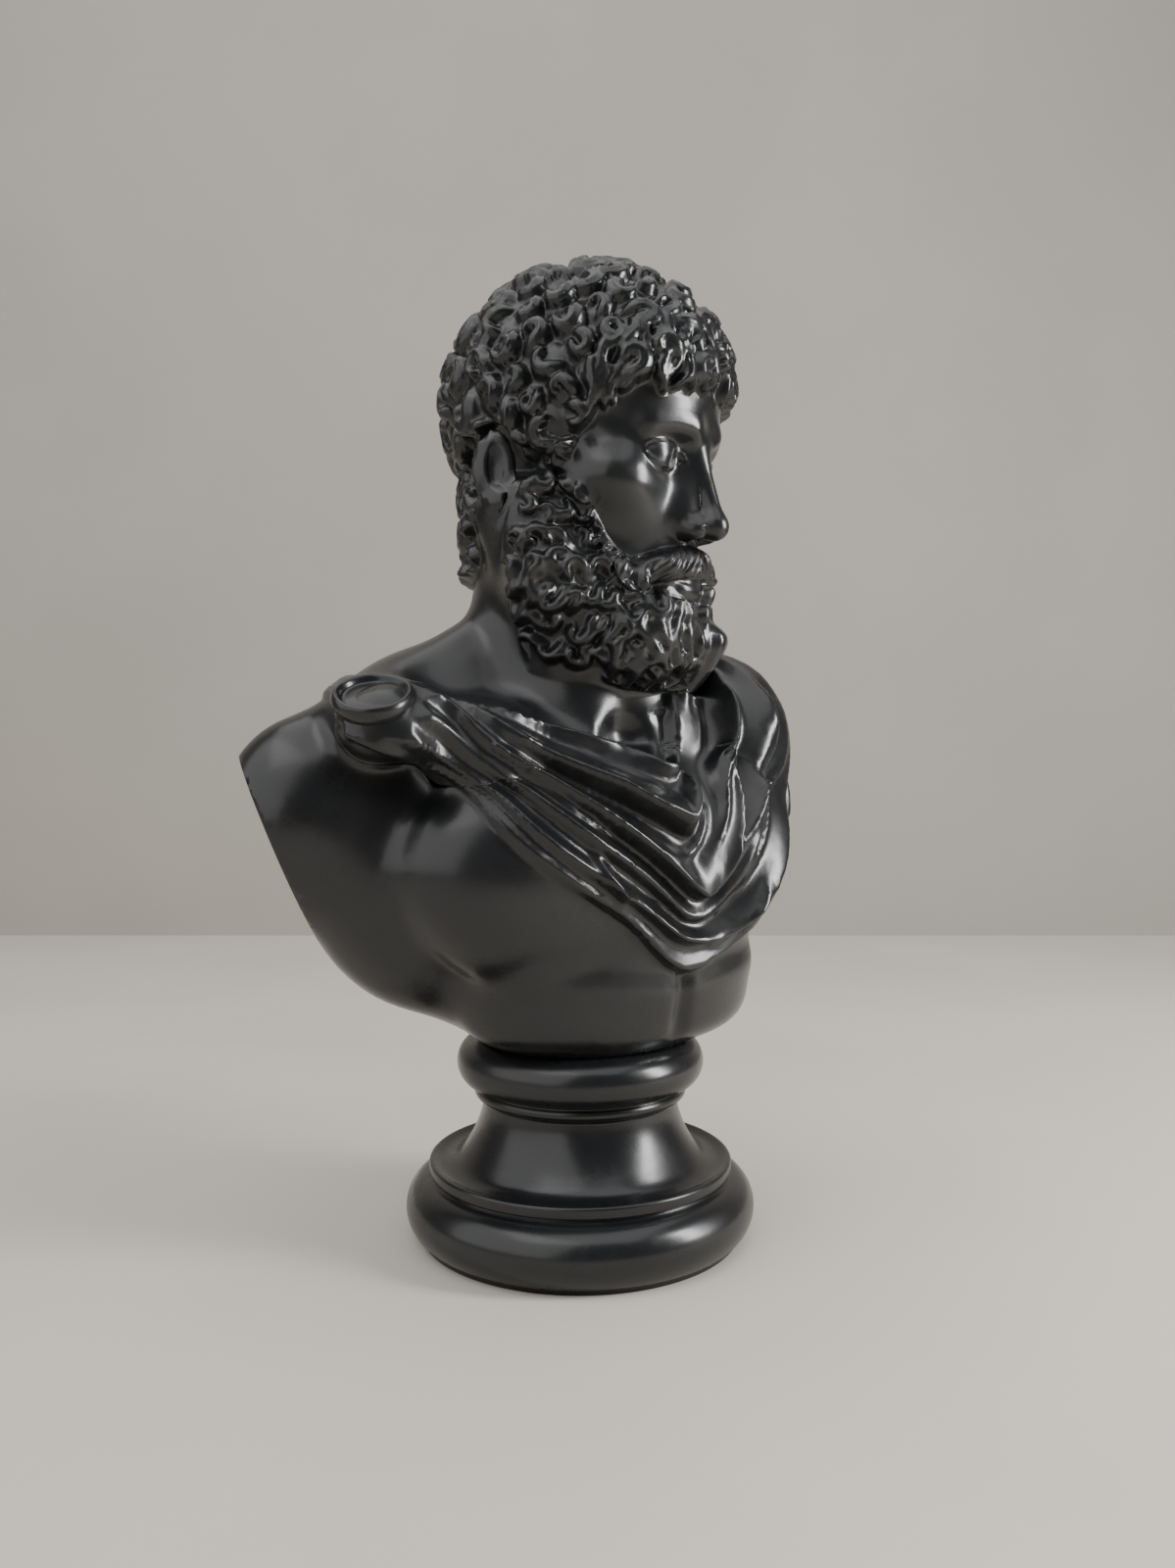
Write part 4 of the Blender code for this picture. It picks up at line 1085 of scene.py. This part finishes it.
class BUST_OT_figure(bpy.types.Operator):
    """Models the bust: head, neck, chest and cloak, with the carving of hair and beard"""

    bl_idname = "bust.figure"
    bl_label = "Model the figure"

    def execute(self, context):
        sizes = context.scene.bust_sizes
        part = sizes.figure_height / FIGURE_PARTS
        grain = sizes.body_grain / part
        clay = model_clay(sizes)
        skin = fused(clay.rough_shape(1.3 * grain), grain)
        points = clay.settle(read_points(skin), 4)
        write_points(skin, points)
        local = undo_place(points, head_place(sizes))
        head = (np.abs(local) < HEAD_REACH).all(axis=1) & (points[:, 2] > HEAD_REFINED)
        new = refined(skin, head | (cloak_relief(points)[0] > 0.0))
        points = read_points(skin)
        points[new] = clay.settle(points[new], 2)
        local = undo_place(points, head_place(sizes))
        face = (np.abs(local[:, 0]) < 23.0) & (local[:, 1] < -19.0) & (np.abs(local[:, 2] + 13.0) < 25.0)
        new = refined(skin, face)
        points = read_points(skin)
        points[new] = clay.settle(points[new], 3)
        slope = clay.slope(points, 1.0)
        normals = slope / np.linalg.norm(slope, axis=1)[:, None]
        relief, hollow = carve(points, normals, sizes)
        soft = np.where((points[:, 2] > CLOAK_TOP) & (relief > 0.2), 0.12, 0.5)
        write_points(skin, softened(skin, points + normals * relief[:, None], soft, 3))
        skin.attributes.new("hollow", "FLOAT", "POINT").data.foreach_set("value", hollow.astype(np.float32))
        triangles = sum(len(polygon.vertices) - 2 for polygon in skin.polygons)
        skin = modified(skin, "DECIMATE", ratio=min(1.0, sizes.most_faces / triangles))
        shape = bmesh.new()
        shape.from_mesh(skin)
        for side in (1.0, -1.0):
            point = Vector((side * ARM_CUT_POINT[0], *ARM_CUT_POINT[1:]))
            cut_plane(shape, point, Vector((side * ARM_CUT_FACING[0], *ARM_CUT_FACING[1:])))
        cut_plane(shape, Vector((0.0, 0.0, 0.0)), Vector((0.0, 0.0, -1.0)))
        keep_largest(shape)
        bmesh.ops.triangulate(shape, faces=[face for face in shape.faces if len(face.verts) > 4])
        shape.to_mesh(skin)
        shape.free()
        skin.transform(Matrix.Translation(BUST_FOOT) @ Matrix.Scale(part, 4))
        skin.shade_smooth()
        paint = black_lacquer("bust lacquer", context.scene.bust_finish, hollows=True)
        finish_piece("emperor_bust", skin, paint, ["bust"])
        return {"FINISHED"}


class BUST_OT_brooch(bpy.types.Operator):
    """Models the round brooch that pins the cloak at the right shoulder"""

    bl_idname = "bust.brooch"
    bl_label = "Model the brooch"

    def execute(self, context):
        part = context.scene.bust_sizes.figure_height / FIGURE_PARTS
        radius = BROOCH_RADIUS * part
        section = [
            (0.0, 0.12),
            (0.30, 0.11),
            (0.55, 0.08),
            (0.68, 0.05),
            (0.76, 0.07),
            (0.82, 0.17),
            (0.89, 0.22),
            (0.96, 0.19),
            (1.01, 0.09),
            (1.02, -0.04),
            (0.98, -0.16),
            (0.92, -0.26),
            (0.88, -0.40),
            (0.86, -0.58),
        ]
        rounded = curve_through([(radius * out, radius * up) for out, up in section], 3)
        facing = Vector(BROOCH_FACING).to_track_quat("Z", "Y").to_matrix().to_4x4()
        middle = Vector(BROOCH_CENTRE) * part + BUST_FOOT
        place = Matrix.Translation(middle) @ facing
        mesh = as_mesh(spin_profile([*rounded, (0.0, -0.58 * radius)], 72, place), "brooch")
        paint = black_lacquer("brooch lacquer", context.scene.bust_finish, hollows=False)
        finish_piece("cloak_brooch", mesh, paint, ["bust"])
        return {"FINISHED"}


class BUST_OT_socle(bpy.types.Operator):
    """Models the turned round socle"""

    bl_idname = "bust.socle"
    bl_label = "Model the socle"

    def execute(self, context):
        radius = context.scene.bust_sizes.socle_radius
        mesh = as_mesh(spin_profile(socle_profile(radius, SOCLE_TOP), 144), "socle")
        paint = black_lacquer("socle lacquer", context.scene.bust_finish, hollows=False)
        finish_piece("turned_socle", mesh, paint, ["socle"])
        return {"FINISHED"}


# The picture's height, the focal length and how far the picture's middle lies below the level, all
# in the picture's pixels. The sensor is in millimetres.
FRAME_HEIGHT = 1600.0
FOCAL_LENGTH = 1230.0
FRAME_DROP = 34.0
SENSOR = 24.0
# How far to its right the camera stands off the line to the socle's axis
CAMERA_ASIDE = 0.0042


class BUST_OT_studio(bpy.types.Operator):
    """Sets the floor, the backdrop, the lights and the camera"""

    bl_idname = "bust.studio"
    bl_label = "Set up the studio"

    def execute(self, context):
        scene, studio = context.scene, context.scene.bust_studio
        back = Vector((math.sin(studio.camera_turn), -math.cos(studio.camera_turn), 0.0))
        right = Vector((math.cos(studio.camera_turn), math.sin(studio.camera_turn), 0.0))
        self.lay_floor(studio)
        self.hang_lights(scene, studio, back, right)
        lens = bpy.data.cameras.new("camera")
        lens.sensor_fit = "VERTICAL"
        lens.sensor_height = SENSOR
        lens.lens = FOCAL_LENGTH / FRAME_HEIGHT * SENSOR
        lens.clip_start = 0.01
        camera = bpy.data.objects.new("camera", lens)
        scene.collection.objects.link(camera)
        height = Vector((0.0, 0.0, studio.camera_height))
        camera.location = back * studio.camera_distance + right * CAMERA_ASIDE + height
        pitch = math.atan(FRAME_DROP / FOCAL_LENGTH)
        ahead = -back * math.cos(pitch) - Vector((0.0, 0.0, math.sin(pitch)))
        camera.rotation_euler = ahead.to_track_quat("-Z", "Y").to_euler()
        scene.camera = camera
        return {"FINISHED"}

    @staticmethod
    def lay_floor(studio):
        turn = Matrix.Rotation(studio.camera_turn, 4, "Z")
        upright = Matrix.Translation((0.0, 1.1, 1.6)) @ Matrix.Rotation(math.pi / 2, 4, "X")
        for name, colour, place, size in (
            ("floor", studio.floor, Matrix.Translation((0.0, -0.6, 0.0)), (3.0, 1.7)),
            ("backdrop", studio.wall, upright, (3.0, 1.6)),
        ):
            shape = bmesh.new()
            scaled = turn @ place @ Matrix.Diagonal((*size, 1.0, 1.0))
            bmesh.ops.create_grid(shape, x_segments=1, y_segments=1, size=1.0, matrix=scaled)
            mesh = as_mesh(shape, name)
            mesh.materials.append(plain_ground(name, colour, 0.8))
            ground = bpy.data.objects.new(name, mesh)
            bpy.context.scene.collection.objects.link(ground)

    @staticmethod
    def hang_lights(scene, studio, back, right):
        world = bpy.data.worlds.new("studio air")
        world.use_nodes = True
        air = world.node_tree.nodes["Background"]
        air.inputs["Color"].default_value = (0.30, 0.30, 0.30, 1.0)
        air.inputs["Strength"].default_value = 0.5
        scene.world = world
        chest = Vector((0.0, 0.0, 0.33))
        key, fill = studio.key_power, studio.fill_power
        lamps = (
            ("window", (0.30, 1.25, 0.66), (0.30, 0.75), key),
            ("soft box", (0.9, -1.1, 1.15), (2.6, 2.2), 1.6 * fill),
            ("ceiling", (0.2, 0.0, 1.9), (2.4, 2.4), 1.7 * fill),
        )
        for name, (near, aside, up), size, power in lamps:
            place = back * near + right * aside + Vector((0.0, 0.0, up))
            lamp = bpy.data.lights.new(name, "AREA")
            lamp.shape = "RECTANGLE"
            lamp.size, lamp.size_y = size
            lamp.energy = power
            body = bpy.data.objects.new(name, lamp)
            scene.collection.objects.link(body)
            body.location = place
            body.rotation_euler = (chest - place).to_track_quat("-Z", "Y").to_euler()


class BUST_PT_panel(bpy.types.Panel):
    """Lists the sizes and the steps that make the bust"""

    bl_idname = "BUST_PT_panel"
    bl_label = "Roman emperor bust"
    bl_space_type = "VIEW_3D"
    bl_region_type = "UI"
    bl_category = "Bust"

    def draw(self, context):
        for name in ("bust_sizes", "bust_finish", "bust_studio"):
            group = getattr(context.scene, name)
            for key in group.__annotations__:
                self.layout.prop(group, key)
        for operator in STEPS:
            self.layout.operator(operator.bl_idname)


STEPS = (BUST_OT_figure, BUST_OT_brooch, BUST_OT_socle, BUST_OT_studio)
CLASSES = (BustSizes, BustFinish, StudioSettings, *STEPS, BUST_PT_panel)


def register():
    for each in CLASSES:
        bpy.utils.register_class(each)
    bpy.types.Scene.bust_sizes = PointerProperty(type=BustSizes)
    bpy.types.Scene.bust_finish = PointerProperty(type=BustFinish)
    bpy.types.Scene.bust_studio = PointerProperty(type=StudioSettings)


def unregister():
    del bpy.types.Scene.bust_sizes, bpy.types.Scene.bust_finish, bpy.types.Scene.bust_studio
    for each in reversed(CLASSES):
        bpy.utils.unregister_class(each)


def main():
    register()
    bpy.ops.bust.figure()
    bpy.ops.bust.brooch()
    bpy.ops.bust.socle()
    bpy.ops.bust.studio()


if __name__ == "__main__":
    main()
